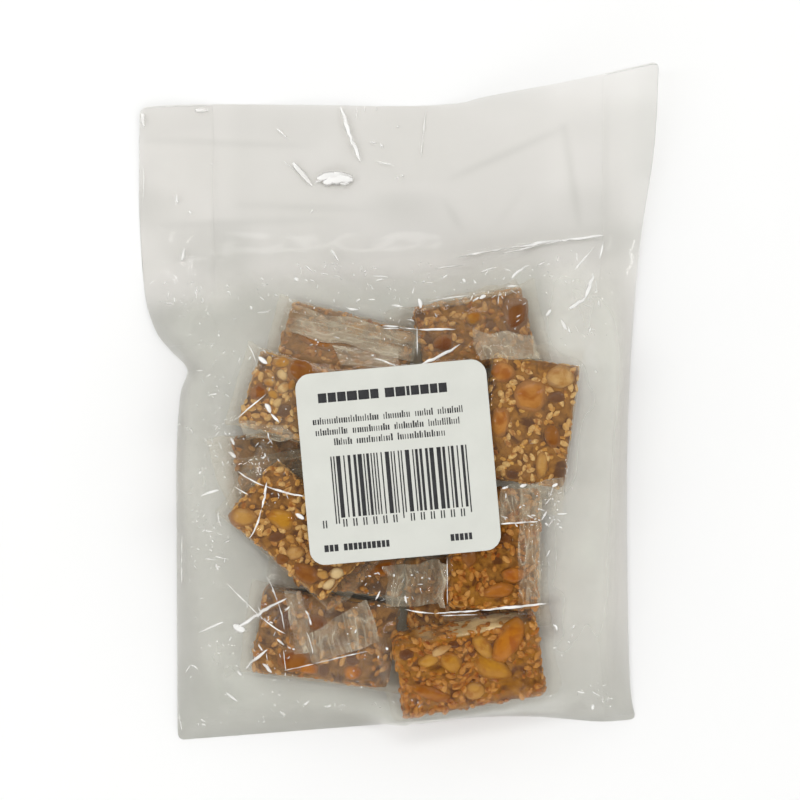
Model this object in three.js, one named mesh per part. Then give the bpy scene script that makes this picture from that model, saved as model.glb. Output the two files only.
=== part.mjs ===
// A clear film bag of small wrapped slabs of sesame and peanut brittle.
//
// The bag lies on its back. X runs across it, Y runs up to its flat header and Z points up, out of
// the side that carries the label. The origin is under the middle of the whole, on the surface that
// the bag rests on. All sizes are in millimetres and all angles in degrees.
//
// The bag is one solid: the space that its film and its contents take up. Its top is worked out as
// a film is: it lies on the slabs like a stretched sheet, is held down along its rim and its seal,
// and is flat under the label.
import * as THREE from 'three';

// ---- Driving dimensions ---------------------------------------------------------------------

// The four edges of the flat bag, each a smooth curve through a few points, from left to right or
// from bottom to top. The left edge has a waist below the header, where the side fold opens out.
const EDGES = {
  bottom: [
    [-60.9, -93.2], [-28.5, -90.7], [-6.6, -89], [20, -87], [37.2, -86.8], [54.7, -88.1],
    [64.7, -87.4],
  ],
  top: [
    [-71.2, 80.2], [-49.3, 81], [-5, 80.5], [15.3, 81.1], [24.4, 82.9], [54.3, 87.5], [68.6, 89.8],
  ],
  left: [
    [-60.9, -93.2], [-61.1, -46.2], [-61.2, -16], [-60.2, 1], [-58.3, 8.3], [-63, 13.8],
    [-67, 19.2], [-70, 30], [-71.4, 52], [-71.2, 80.2],
  ],
  right: [
    [64.7, -87.4], [62.8, -74], [62.1, -24], [63, 8.2], [65.3, 41], [68.3, 67.5], [68.6, 89.8],
  ],
};

// The header is the empty flat part above the seal. SEAL_AT is how far up the edges the seal runs.
const SEAL_AT = 0.75;
const SEAL_FADE = 0.07;

const FILM = {
  thickness: 1.0, // of the solid where the bag is flat
  clearance: 0.9, // between a slab's face and the top of the solid: wrapper and film
  margin: 1.6, // how far the wrapper's fold reaches past a slab's sides
  sideRise: 7.5, // height that the side folds hold the film up to
  sideRun: 9, // width over which it climbs to that height
  footRise: 6, // the same at the bottom edge
  footRun: 6,
  edgeLift: 3.2, // height of the rim above the surface along the filled sides
  edgeRun: 8, // width over which the underside comes down from the rim
  wave: 0.9, // height of the slow waves in the header
  waveLength: 46,
};

// The top right corner of the header curls up.
const CURL = { height: 15, start: 0.5, power: 1.6, acrossX: 71, fromY: 15, acrossY: 75 };

// The wrapped slabs inside, by the middle of each. Yaw turns a slab on the table, roll lifts the
// side on its left as it points along its length, and pitch lowers its far end.
const SLAB_THICKNESS = 9.5;
const SLABS = [
  { x: -16.0, y: 13.0, z: 5.6, yaw: -14, length: 33, width: 21 },
  { x: 19.2, y: 17.9, z: 5.6, yaw: 12, length: 32, width: 20.5 },
  { x: -23.8, y: -1.3, z: 15.8, yaw: -17, length: 34, width: 21, roll: -2 },
  { x: 34.6, y: -5.6, z: 15.6, yaw: 83, length: 33.5, width: 21.5, pitch: -2 },
  { x: -26.7, y: -34.1, z: 15.7, yaw: -41, length: 34, width: 21 },
  { x: 23.3, y: -39.1, z: 15.6, yaw: 89, length: 32.5, width: 21.5, pitch: 2 },
  { x: -20.8, y: -64.1, z: 5.6, yaw: -12, length: 34.5, width: 21.5 },
  { x: 18.7, y: -71.5, z: 10.4, yaw: 10, length: 37.5, width: 22.5, roll: 17 },
  { x: 24.9, y: -47.1, z: 5.6, yaw: 3, length: 31, width: 18 },
  { x: 3.0, y: -21.4, z: 5.6, yaw: 86, length: 33, width: 18.5 },
  { x: -26.5, y: -21.6, z: 5.6, yaw: 10, length: 33, width: 20.5 },
];

const LABEL = { x: -0.5, y: -16.2, yaw: 5.1, side: 50, corner: 4, thickness: 0.4, gap: 0.3 };

// The mesh of the bag: cells across it and cells along it, and passes over them to settle the film.
const CELLS_ACROSS = 40;
const CELLS_ALONG = 52;
const SETTLING_PASSES = 600;

// ---- Small helpers --------------------------------------------------------------------------

const clamp01 = (t) => Math.min(1, Math.max(0, t));
const smooth = (t) => clamp01(t) ** 2 * (3 - 2 * clamp01(t));
const radians = THREE.MathUtils.degToRad;

// A quarter of an ellipse: 0 at distance 0, and the full height from distance run onwards.
const shoulder = (distance, run, height) => height * Math.sqrt(1 - (1 - clamp01(distance / run)) ** 2);

// ---- The flat outline -----------------------------------------------------------------------

const edgeCurve = (points) => new THREE.SplineCurve(points.map(([x, y]) => new THREE.Vector2(x, y)));
const curves = Object.fromEntries(
  Object.entries(EDGES).map(([name, points]) => [name, edgeCurve(points)]),
);

// The point of the flat bag at u across and v along, blended between its four edges.
function flatPoint(u, v) {
  const bottom = curves.bottom.getPointAt(u);
  const top = curves.top.getPointAt(u);
  const left = curves.left.getPointAt(v);
  const right = curves.right.getPointAt(v);
  const corner = (curve, t) => curve.getPoint(t);
  const blend = (key) =>
    (1 - v) * bottom[key] + v * top[key] + (1 - u) * left[key] + u * right[key] -
    (1 - u) * (1 - v) * corner(curves.bottom, 0)[key] - u * (1 - v) * corner(curves.bottom, 1)[key] -
    (1 - u) * v * corner(curves.top, 0)[key] - u * v * corner(curves.top, 1)[key];
  return new THREE.Vector2(blend('x'), blend('y'));
}

// ---- What holds the film up -----------------------------------------------------------------

// The frame of a rectangle that lies at an angle: its own coordinates of a point.
function inFrame({ x, y, yaw }, point) {
  const angle = radians(yaw);
  const dx = point.x - x;
  const dy = point.y - y;
  return {
    along: dx * Math.cos(angle) + dy * Math.sin(angle),
    across: -dx * Math.sin(angle) + dy * Math.cos(angle),
  };
}

function isInside(rectangle, point, length, width) {
  const { along, across } = inFrame(rectangle, point);
  return Math.abs(along) <= length / 2 && Math.abs(across) <= width / 2;
}

// The height of a slab's upper face over a point, or 0 beside the slab.
function slabHeight(slab, point) {
  const { x, y, z, yaw, length, width, roll = 0, pitch = 0 } = slab;
  if (!isInside(slab, point, length + 2 * FILM.margin, width + 2 * FILM.margin)) return 0;
  const turn = new THREE.Euler(radians(roll), radians(pitch), radians(yaw), 'ZYX');
  const normal = new THREE.Vector3(0, 0, 1).applyEuler(turn);
  const away = normal.x * (point.x - x) + normal.y * (point.y - y);
  return z + (SLAB_THICKNESS / 2 - away) / normal.z;
}

const pileHeight = (point) => Math.max(...SLABS.map((slab) => slabHeight(slab, point)));

// How far a place is filled: 0 in the header and 1 a little below the seal.
const filledPart = (v) => smooth((SEAL_AT - v) / SEAL_FADE);

function curlHeight(point) {
  const reach = (point.x / CURL.acrossX + (point.y - CURL.fromY) / CURL.acrossY) / 2;
  return CURL.height * clamp01((reach - CURL.start) / (1 - CURL.start)) ** CURL.power;
}

function headerWave(point) {
  const phase = (2 * Math.PI * (point.x + 0.4 * point.y)) / FILM.waveLength;
  return (FILM.wave * (1 + Math.sin(phase))) / 2;
}

// ---- The film's grid ------------------------------------------------------------------------

// Rows of nodes from the foot of the bag to the top of its header, each row from left to right.
function makeNodes() {
  const nodes = [];
  for (let j = 0; j <= CELLS_ALONG; j++) {
    const row = [];
    for (let i = 0; i <= CELLS_ACROSS; i++) {
      const u = i / CELLS_ACROSS;
      const v = j / CELLS_ALONG;
      const point = flatPoint(u, v);
      const toSide = Math.min(
        point.distanceTo(flatPoint(0, v)),
        point.distanceTo(flatPoint(1, v)),
      );
      const toFoot = point.distanceTo(flatPoint(u, 0));
      const isRim = i === 0 || j === 0 || i === CELLS_ACROSS || j === CELLS_ALONG;
      row.push({ point, v, toSide, toFoot, isHeld: isRim || v >= SEAL_AT });
    }
    nodes.push(row);
  }
  return nodes;
}

function setUnderside(node) {
  const filled = filledPart(node.v);
  const toEdge = Math.min(node.toSide, node.toFoot);
  const rimLift = FILM.edgeLift * filled * smooth(node.toFoot / FILM.edgeRun);
  const lift = rimLift * (1 - smooth(toEdge / FILM.edgeRun));
  node.below = lift + (1 - filled) * headerWave(node.point) + curlHeight(node.point);
}

// The lowest that the top of the bag may be at a node.
function setSupport(node, levelUnderLabel) {
  const rise = Math.min(
    shoulder(node.toSide, FILM.sideRun, FILM.sideRise),
    shoulder(node.toFoot, FILM.footRun, FILM.footRise),
  );
  const flat = node.below + FILM.thickness;
  const slabs = pileHeight(node.point) + FILM.clearance;
  const label = isInside(LABEL, node.point, LABEL.side, LABEL.side) ? levelUnderLabel : 0;
  node.support = node.isHeld ? flat : Math.max(flat, flat + rise * filledPart(node.v), slabs, label);
  node.above = node.support;
}

// The film settles: each free node goes to the mean of its neighbours, unless it rests on
// something higher.
function settle(nodes) {
  for (let pass = 0; pass < SETTLING_PASSES; pass++) {
    for (let j = 1; j < CELLS_ALONG; j++) {
      for (let i = 1; i < CELLS_ACROSS; i++) {
        const node = nodes[j][i];
        if (node.isHeld) continue;
        const mean =
          (nodes[j][i - 1].above + nodes[j][i + 1].above +
            nodes[j - 1][i].above + nodes[j + 1][i].above) / 4;
        node.above = Math.max(node.support, mean);
      }
    }
  }
}

// ---- The bag --------------------------------------------------------------------------------

// Joins the upper and the lower grid along the rim into one closed body.
function closedBody(nodes) {
  const rowLength = CELLS_ACROSS + 1;
  const layer = rowLength * (CELLS_ALONG + 1);
  const positions = [];
  for (const height of ['above', 'below']) {
    for (const row of nodes) {
      for (const node of row) positions.push(node.point.x, node.point.y, node[height]);
    }
  }
  const faces = [];
  const upper = (i, j) => j * rowLength + i;
  const quad = (a, b, c, d) => faces.push(a, b, c, a, c, d);
  for (let j = 0; j < CELLS_ALONG; j++) {
    for (let i = 0; i < CELLS_ACROSS; i++) {
      const [a, b, c, d] = [upper(i, j), upper(i + 1, j), upper(i + 1, j + 1), upper(i, j + 1)];
      quad(a, b, c, d);
      quad(layer + a, layer + d, layer + c, layer + b);
    }
  }
  const rim = [];
  for (let i = 0; i < CELLS_ACROSS; i++) rim.push(upper(i, 0));
  for (let j = 0; j < CELLS_ALONG; j++) rim.push(upper(CELLS_ACROSS, j));
  for (let i = CELLS_ACROSS; i > 0; i--) rim.push(upper(i, CELLS_ALONG));
  for (let j = CELLS_ALONG; j > 0; j--) rim.push(upper(0, j));
  rim.forEach((from, k) => {
    const to = rim[(k + 1) % rim.length];
    quad(layer + from, layer + to, to, from);
  });
  const geometry = new THREE.BufferGeometry();
  geometry.setAttribute('position', new THREE.Float32BufferAttribute(positions, 3));
  geometry.setIndex(faces);
  geometry.computeVertexNormals();
  return geometry;
}

function makeBag(levelUnderLabel) {
  const nodes = makeNodes();
  for (const node of nodes.flat()) {
    setUnderside(node);
    setSupport(node, levelUnderLabel);
  }
  settle(nodes);
  const film = new THREE.MeshStandardMaterial({ color: 0xd9dcd8, roughness: 0.15, metalness: 0 });
  const bag = new THREE.Mesh(closedBody(nodes), film);
  bag.name = 'bag';
  return bag;
}

// ---- The label ------------------------------------------------------------------------------

function makeLabel(levelUnderLabel) {
  const half = LABEL.side / 2;
  const inner = half - LABEL.corner;
  const outline = new THREE.Shape();
  outline.absarc(inner, -inner, LABEL.corner, -Math.PI / 2, 0);
  outline.absarc(inner, inner, LABEL.corner, 0, Math.PI / 2);
  outline.absarc(-inner, inner, LABEL.corner, Math.PI / 2, Math.PI);
  outline.absarc(-inner, -inner, LABEL.corner, Math.PI, 1.5 * Math.PI);
  outline.closePath();
  const geometry = new THREE.ExtrudeGeometry(outline, {
    depth: LABEL.thickness, bevelEnabled: false, curveSegments: 6,
  });
  const paper = new THREE.MeshStandardMaterial({ color: 0xe6e6e1, roughness: 0.65, metalness: 0 });
  const label = new THREE.Mesh(geometry, paper);
  label.name = 'label';
  label.position.set(LABEL.x, LABEL.y, levelUnderLabel + LABEL.gap);
  label.rotation.z = radians(LABEL.yaw);
  return label;
}

// ---- The whole ------------------------------------------------------------------------------

// The label lies flat over the highest of the slabs.
function levelOfTheLabelledFilm() {
  const tops = [];
  for (const row of makeNodes()) {
    for (const node of row) tops.push(pileHeight(node.point));
  }
  return Math.max(...tops) + FILM.clearance;
}

const levelUnderLabel = levelOfTheLabelledFilm();
const pack = new THREE.Group();
pack.add(makeBag(levelUnderLabel), makeLabel(levelUnderLabel));

// The origin goes under the middle of the pack's own box.
const box = new THREE.Box3().setFromObject(pack, true);
const middle = box.getCenter(new THREE.Vector3());
pack.position.set(-middle.x, -middle.y, -box.min.z);

const group = new THREE.Group();
group.add(pack);

export default group;
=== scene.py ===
# %% [markdown]
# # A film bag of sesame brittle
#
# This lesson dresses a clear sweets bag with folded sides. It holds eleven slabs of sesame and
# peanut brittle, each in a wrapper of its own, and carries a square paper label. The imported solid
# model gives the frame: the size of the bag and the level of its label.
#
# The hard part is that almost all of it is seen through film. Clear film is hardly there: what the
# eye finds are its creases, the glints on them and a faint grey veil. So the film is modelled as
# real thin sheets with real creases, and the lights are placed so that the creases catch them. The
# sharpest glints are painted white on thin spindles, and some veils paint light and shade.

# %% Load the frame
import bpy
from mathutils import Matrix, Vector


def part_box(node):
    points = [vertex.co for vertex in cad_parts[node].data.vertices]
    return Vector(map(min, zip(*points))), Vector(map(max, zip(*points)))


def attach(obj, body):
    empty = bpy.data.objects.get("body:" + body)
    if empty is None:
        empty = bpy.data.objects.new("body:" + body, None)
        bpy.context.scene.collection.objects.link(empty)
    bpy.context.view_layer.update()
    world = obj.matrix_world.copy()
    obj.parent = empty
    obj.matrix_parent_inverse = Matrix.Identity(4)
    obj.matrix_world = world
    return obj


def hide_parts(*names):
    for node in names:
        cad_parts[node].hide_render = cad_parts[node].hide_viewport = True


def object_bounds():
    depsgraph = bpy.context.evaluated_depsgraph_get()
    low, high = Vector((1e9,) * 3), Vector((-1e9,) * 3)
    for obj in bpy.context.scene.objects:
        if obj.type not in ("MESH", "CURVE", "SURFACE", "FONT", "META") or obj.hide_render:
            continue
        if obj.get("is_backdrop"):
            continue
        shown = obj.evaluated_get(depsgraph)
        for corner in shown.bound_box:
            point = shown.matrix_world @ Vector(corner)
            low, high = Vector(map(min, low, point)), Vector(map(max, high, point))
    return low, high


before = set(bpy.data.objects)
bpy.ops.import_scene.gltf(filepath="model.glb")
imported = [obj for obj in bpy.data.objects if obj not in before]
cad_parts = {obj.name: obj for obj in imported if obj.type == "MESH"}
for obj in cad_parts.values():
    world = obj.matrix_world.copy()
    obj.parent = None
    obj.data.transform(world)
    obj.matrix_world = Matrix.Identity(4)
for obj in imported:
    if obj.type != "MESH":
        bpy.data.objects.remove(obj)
cad_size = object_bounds()
print("nodes:", sorted(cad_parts), "box:", cad_size)

# %% [markdown]
# ## Numbers and noise
#
# All places are drawn in millimetres on one flat drawing of the bag, whose middle is the middle of
# the picture that the camera takes. The solid model was centred after it was drawn, so the label
# tells how far the drawing has moved. Nature is uneven, so most shapes get some smooth noise, worked
# out from whole-number places and a seed: each run gives the same bag.

# %% Units, the drawing and smooth noise
import itertools
import math
import bpy
import numpy as np
from mathutils import Matrix, Vector

MM = 0.001
LABEL = {"x": -0.5, "y": -16.2, "yaw": 5.1, "side": 50.0, "corner": 4.0}
label_low, label_high = (np.array(corner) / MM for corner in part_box("label"))
bag_high = np.array(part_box("bag")[1]) / MM
DRAWING_TO_FRAME = np.array([*((label_low + label_high)[:2] / 2 - (LABEL["x"], LABEL["y"])), 0.0])
print("the drawing has moved by", DRAWING_TO_FRAME.round(2), "mm")


def lattice(x, y, z, seed):
    """A repeatable number from 0 to 1 for each whole-number place."""
    mixed = (x * 374761393 + y * 668265263 + z * 2147483647 + seed * 974634777) & 0xFFFFFFFF
    mixed = ((mixed ^ (mixed >> 13)) * 1274126177) & 0xFFFFFFFF
    return ((mixed ^ (mixed >> 16)) & 0xFFFF) / 65535.0


def noise(points, size, seed=0):
    """Smooth noise from -1 to 1 with lumps about size across, for points in two or three axes."""
    points = np.asarray(points, float) / size
    if points.shape[-1] == 2:
        points = np.concatenate([points, np.zeros(points.shape[:-1] + (1,))], axis=-1)
    base = np.floor(points).astype(np.int64)
    part = points - base
    part = part * part * (3 - 2 * part)
    total = 0
    for corner in itertools.product((0, 1), repeat=3):
        weight = np.prod(np.where(corner, part, 1 - part), axis=-1)
        place = base + corner
        total = total + weight * lattice(place[..., 0], place[..., 1], place[..., 2], seed)
    return 2 * total - 1


def joined(*parts):
    """Grids of x, y and so on as one grid of points."""
    return np.stack(parts, axis=-1)


def ramp(value, low, high):
    """0 at low, 1 at high, and smooth between them."""
    t = np.clip((value - low) / (high - low), 0, 1)
    return t * t * (3 - 2 * t)


print("noise at three places:", noise([[0, 0], [5, 5], [9, 2]], 4).round(2))

# %% [markdown]
# ## Making pieces
#
# Each piece is a mesh whose vertices are worked out with numpy, in drawing millimetres. Its object
# stays at the origin, and its place is in its mesh. Three kinds of closed form come back again and
# again, so each gets a helper: a shell between two sheets that share a rim, a box whose six faces
# are grids, and a globe.

# %% Helpers for closed forms
def closed_shell(front, back):
    """Points and faces of a shell between two sheets of the same grid, welded along their rim."""
    rows, columns = front.shape[:2]
    inner = np.zeros((rows, columns), bool)
    inner[1:-1, 1:-1] = True
    upper = np.arange(rows * columns).reshape(rows, columns)
    lower = upper.copy()
    lower[inner] = rows * columns + np.arange(inner.sum())
    faces = []
    for index, turn in ((upper, 1), (lower, -1)):
        ring = [index[:-1, :-1], index[:-1, 1:], index[1:, 1:], index[1:, :-1]]
        faces.append(np.stack(ring[::turn], axis=-1).reshape(-1, 4))
    return np.concatenate([front.reshape(-1, 3), back[inner]]), np.concatenate(faces)


def box_grid(cells):
    """Points from -1 to 1 and quads of a closed box with so many cells along each axis."""
    ticks = [np.linspace(-1, 1, count + 1) for count in cells]
    grid = np.stack(np.meshgrid(*ticks, indexing="ij"), axis=-1)
    outside = np.any(np.abs(grid) > 1 - 1e-9, axis=-1)
    index = np.full(outside.shape, -1)
    index[outside] = np.arange(outside.sum())
    faces = []
    for axis, side in itertools.product(range(3), (0, -1)):
        layer = np.take(index, side, axis=axis)
        ring = [layer[:-1, :-1], layer[1:, :-1], layer[1:, 1:], layer[:-1, 1:]]
        faces_out = (side == -1) != (axis == 1)
        faces.append(np.stack(ring if faces_out else ring[::-1], axis=-1).reshape(-1, 4))
    return grid[outside], np.concatenate(faces)


def globe(around, rings):
    """Points and faces of a unit globe whose poles lie on the X axis."""
    lean, spin = np.meshgrid(
        np.pi * np.arange(1, rings) / rings, 2 * np.pi * np.arange(around) / around, indexing="ij"
    )
    middle = joined(np.cos(lean), np.sin(lean) * np.cos(spin), np.sin(lean) * np.sin(spin))
    points = np.concatenate([middle.reshape(-1, 3), [[1, 0, 0], [-1, 0, 0]]])
    first, last = len(points) - 2, len(points) - 1
    faces = []
    for k in range(around):
        right = (k + 1) % around
        faces.append([first, k, right])
        faces.append([last, (rings - 2) * around + right, (rings - 2) * around + k])
        for row in range(rings - 2):
            a, b = row * around + k, row * around + right
            faces.append([a, a + around, b + around, b])
    return points, faces


print("a box of 2 by 2 by 2 cells has", len(box_grid((2, 2, 2))[1]), "faces")

# %% Helpers for pieces
def shell_numbers(front, back=None):
    """Numbers of a grid for the points of a closed shell: its front sheet, then inside its back."""
    back = front if back is None else back
    return np.concatenate([front.ravel(), back[1:-1, 1:-1].ravel()])


def join_forms(forms):
    """One list of points and one of faces from several (points, faces) pairs."""
    points, faces, start = [], [], 0
    for form_points, form_faces in forms:
        points.append(form_points)
        faces.extend([[index + start for index in map(int, face)] for face in form_faces])
        start += len(form_points)
    return np.concatenate(points), faces


def make_mesh(name, points, faces, material, numbers=None):
    """A mesh from drawing millimetres, with a named number for each vertex for every entry."""
    mesh = bpy.data.meshes.new(name)
    placed = (np.asarray(points) + DRAWING_TO_FRAME) * MM
    mesh.from_pydata(placed.tolist(), [], [list(map(int, face)) for face in faces])
    mesh.polygons.foreach_set("use_smooth", [True] * len(mesh.polygons))
    for key, values in (numbers or {}).items():
        layer = mesh.attributes.new(key, "FLOAT", "POINT")
        layer.data.foreach_set("value", np.broadcast_to(values, len(points)).astype(np.float32))
    mesh.materials.append(material)
    mesh.update()
    return mesh


def show_mesh(mesh):
    """Shows a mesh as a piece that rides on the bag."""
    piece = bpy.data.objects.new(mesh.name, mesh)
    bpy.context.scene.collection.objects.link(piece)
    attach(piece, "root")
    return piece


def make_piece(name, points, faces, material, slot, numbers=None):
    return show_mesh(make_mesh(name, points, faces, material, numbers))


print("helpers for pieces are ready")

# %% [markdown]
# ## Two shared effects
#
# Caramel, nuts, seeds and film are uneven in the same two ways: their colour is mottled, and their
# surface has fine relief. Each effect is a node group, built once, that the materials place with
# values of their own. A group only puts out a colour or a height: the shader itself stays in the
# material, where an exporter can read it.

# %% Helpers for nodes
def srgb(red, green, blue):
    """A colour from 0 to 255 as the linear numbers that a shader takes."""
    parts = [part / 255 for part in (red, green, blue)]
    return tuple(p / 12.92 if p <= 0.04045 else ((p + 0.055) / 1.055) ** 2.4 for p in parts) + (1.0,)


def add_node(tree, kind, inputs=(), **settings):
    """A node with its settings made, and its inputs linked to a socket or set to a value."""
    node = tree.nodes.new(kind)
    for key, value in settings.items():
        setattr(node, key, value)
    for key, value in dict(inputs).items():
        socket = node.inputs[key]
        if isinstance(key, str) and not socket.enabled:
            socket = next(s for s in node.inputs if s.name == key and s.enabled)
        if isinstance(value, bpy.types.NodeSocket):
            tree.links.new(value, socket)
        else:
            socket.default_value = value
    return node


def maths(tree, operation, first, second):
    """The sum, product or power of two numbers."""
    return add_node(tree, "ShaderNodeMath", {0: first, 1: second}, operation=operation).outputs[0]


def mix_colours(tree, factor, first, second, blend="MIX"):
    """The colour between two others. Sockets 6, 7 and 2 of Mix are those for colours."""
    inputs = {0: factor, 6: first, 7: second}
    return add_node(tree, "ShaderNodeMix", inputs, data_type="RGBA", blend_type=blend).outputs[2]


def stretched(tree, value, low, high, to_low=0.0, to_high=1.0):
    """A number moved from one range to another."""
    return add_node(tree, "ShaderNodeMapRange", {
        "Value": value, "From Min": low, "From Max": high, "To Min": to_low, "To Max": to_high,
    }).outputs[0]


def new_group(name, kind, inputs, outputs):
    """An empty node group with named sockets, and the sockets of its input and output nodes."""
    group = bpy.data.node_groups.new(name, kind)
    for in_out, sockets in (("INPUT", inputs), ("OUTPUT", outputs)):
        for title, socket_kind, *value in sockets:
            socket = group.interface.new_socket(title, in_out=in_out, socket_type="NodeSocket" + socket_kind)
            if value:
                socket.default_value = value[0]
    return group, group.nodes.new("NodeGroupInput").outputs, group.nodes.new("NodeGroupOutput").inputs


print("node helpers are ready")

# %% Mottled colour
def mottle_group():
    """Two tones in cloudy patches, with a third tone in the deepest pools."""
    group, given, result = new_group(
        "mottle", "ShaderNodeTree",
        [("Vector", "Vector"), ("Scale", "Float"), ("Light", "Color"), ("Dark", "Color"), ("Deep", "Color"),
         ("Deep share", "Float")],
        [("Colour", "Color")],
    )
    clouds = add_node(group, "ShaderNodeTexNoise", {
        "Vector": given["Vector"], "Scale": given["Scale"], "Detail": 4.0, "Roughness": 0.6,
    })
    share = stretched(group, clouds.outputs["Fac"], 0.34, 0.66)
    elsewhere = add_node(group, "ShaderNodeVectorMath", {0: given["Vector"], 1: (0.37, 0.11, 0.23)},
                         operation="ADD")
    pools = add_node(group, "ShaderNodeTexNoise", {
        "Vector": elsewhere.outputs[0], "Scale": maths(group, "MULTIPLY", given["Scale"], 0.55),
        "Detail": 4.0, "Distortion": 0.6,
    })
    edge = maths(group, "ADD", given["Deep share"], 0.15)
    deep = stretched(group, pools.outputs["Fac"], given["Deep share"], edge, 1.0, 0.0)
    tones = mix_colours(group, share, given["Dark"], given["Light"])
    group.links.new(mix_colours(group, deep, tones, given["Deep"]), result["Colour"])
    return group


def mottled(tree, place, scale, light, dark, deep, deep_share):
    """A colour from the mottle group."""
    return add_node(tree, "ShaderNodeGroup", {
        "Vector": place, "Scale": scale, "Light": light, "Dark": dark, "Deep": deep,
        "Deep share": deep_share,
    }, node_tree=mottle).outputs["Colour"]


mottle = mottle_group()
print("mottle has", len(mottle.nodes), "nodes")

# %% Fine relief
def relief_group():
    """The height of fine facets that meet in sharp lines, with a little grain on them."""
    group, given, result = new_group(
        "fine relief", "ShaderNodeTree",
        [("Vector", "Vector"), ("Facets", "Float"), ("Grain", "Float"), ("Grain share", "Float")],
        [("Height", "Float")],
    )
    facets = add_node(group, "ShaderNodeTexVoronoi", {"Vector": given["Vector"], "Scale": given["Facets"]})
    grain = add_node(group, "ShaderNodeTexNoise", {
        "Vector": given["Vector"], "Scale": given["Grain"], "Detail": 2.0,
    })
    height = add_node(group, "ShaderNodeMix", {
        0: given["Grain share"], 2: facets.outputs["Distance"], 3: grain.outputs["Fac"],
    }, data_type="FLOAT")
    group.links.new(height.outputs[0], result["Height"])
    return group


def relief_height(tree, place, facets, grain, grain_share):
    """The height of fine relief: sizes in lumps per metre."""
    return add_node(tree, "ShaderNodeGroup", {
        "Vector": place, "Facets": facets, "Grain": grain, "Grain share": grain_share,
    }, node_tree=relief).outputs["Height"]


def bumped(tree, height, depth):
    """A normal from a height, with its depth in metres."""
    return add_node(tree, "ShaderNodeBump", {"Height": height, "Distance": depth}).outputs["Normal"]


relief = relief_group()
print("fine relief has", len(relief.nodes), "nodes")

# %% Helpers for materials
def new_material(name):
    """A material, its tree, and a socket that gives the place on the object."""
    material = bpy.data.materials.new(name)
    material.use_nodes = True
    tree = material.node_tree
    tree.nodes.clear()
    return material, tree, tree.nodes.new("ShaderNodeTexCoord").outputs["Object"]


def vertex_number(tree, name):
    """The number that a mesh's vertices carry under a name."""
    return add_node(tree, "ShaderNodeAttribute", attribute_name=name).outputs["Fac"]


def surfaced(material, inputs, kind="ShaderNodeBsdfPrincipled"):
    """The material, with a shader of this kind as its surface."""
    tree = material.node_tree
    output = tree.nodes.new("ShaderNodeOutputMaterial")
    tree.links.new(add_node(tree, kind, inputs).outputs[0], output.inputs["Surface"])
    return material


print("material helpers are ready")

# %% [markdown]
# ## Caramel, nuts and seeds
#
# The brittle is clear caramel round seeds and nuts. Its colour runs from yellow amber to dark
# red-brown, where the caramel is deep. A glass shader would give that depth, but it is slow and
# noisy under so much film. A mottled colour under a hard clear coat looks the same from outside.
#
# Each vertex carries a number named tone, from dark at 0 to pale at 1, so that one material serves
# all slabs, and another all nuts. A nut also says how far each vertex is sunk, as caramel has crept
# over its edges.

# %% Brittle, peanut and sesame materials
def brittle_material():
    material, tree, place = new_material("brittle")
    amber = mottled(tree, place, 560, srgb(164, 111, 35), srgb(131, 82, 21), srgb(100, 57, 17), 0.36)
    brown = mottled(tree, place, 560, srgb(156, 111, 56), srgb(117, 77, 37), srgb(84, 50, 27), 0.37)
    colour = mix_colours(tree, vertex_number(tree, "tone"), brown, amber)
    return surfaced(material, {
        "Base Color": mix_colours(tree, vertex_number(tree, "sugar"), colour, srgb(250, 226, 172)),
        "Roughness": 0.4, "Specular IOR Level": 0.12, "Coat Weight": 0.1, "Coat Roughness": 0.05,
        "Normal": bumped(tree, relief_height(tree, place, 620, 1500, 0.5), 0.0003),
    })


NUT_TONES = {
    "dark": srgb(102, 60, 28), "brown": srgb(142, 91, 40), "orange": srgb(182, 112, 32),
    "apricot": srgb(188, 132, 70), "amber": srgb(188, 118, 24), "toffee": srgb(162, 104, 36),
    "yellow": srgb(190, 136, 38), "tan": srgb(192, 148, 84), "cream": srgb(220, 194, 146),
}


def tone_number(tone):
    """Where a tone lies on the ramp of nut colours."""
    return (list(NUT_TONES).index(tone) + 0.5) / len(NUT_TONES)


def peanut_material():
    material, tree, place = new_material("peanut")
    tones = add_node(tree, "ShaderNodeValToRGB", {"Fac": vertex_number(tree, "tone")})
    steps = tones.color_ramp.elements
    while len(steps) < len(NUT_TONES):
        steps.new(0.5)
    for step, tone in zip(steps, NUT_TONES):
        step.position = tone_number(tone)
        step.color = NUT_TONES[tone]
    clouds = mottled(tree, place, 420, srgb(255, 255, 255), srgb(236, 226, 210), srgb(216, 188, 156), 0.36)
    colour = mix_colours(tree, 1.0, tones.outputs["Color"], clouds, "MULTIPLY")
    return surfaced(material, {
        "Base Color": mix_colours(tree, vertex_number(tree, "sunk"), colour, srgb(138, 88, 30)),
        "Roughness": 0.4, "Specular IOR Level": 0.14, "Coat Weight": 0.1, "Coat Roughness": 0.06,
        "Normal": bumped(tree, relief_height(tree, place, 800, 2200, 0.7), 0.0001),
    })


def sesame_material(name, glaze):
    """Seeds from toasted to pale, under a glaze of caramel."""
    material, tree, place = new_material(name)
    clouds = mottled(tree, place, 900, srgb(255, 250, 240), srgb(226, 206, 180), srgb(190, 150, 110), 0.36)
    toasted = mix_colours(tree, vertex_number(tree, "tint"), srgb(186, 130, 60), srgb(206, 156, 88))
    pale = mix_colours(tree, vertex_number(tree, "tint"), srgb(220, 182, 118), srgb(240, 218, 164))
    tints = mix_colours(tree, vertex_number(tree, "pale"), toasted, pale)
    glazed = mix_colours(tree, 1.0, tints, glaze, "MULTIPLY")
    return surfaced(material, {
        "Base Color": mix_colours(tree, 1.0, glazed, clouds, "MULTIPLY"), "Roughness": 0.5,
        "Specular IOR Level": 0.12,
        "Normal": bumped(tree, relief_height(tree, place, 1800, 4000, 0.6), 0.00005),
    })


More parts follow.
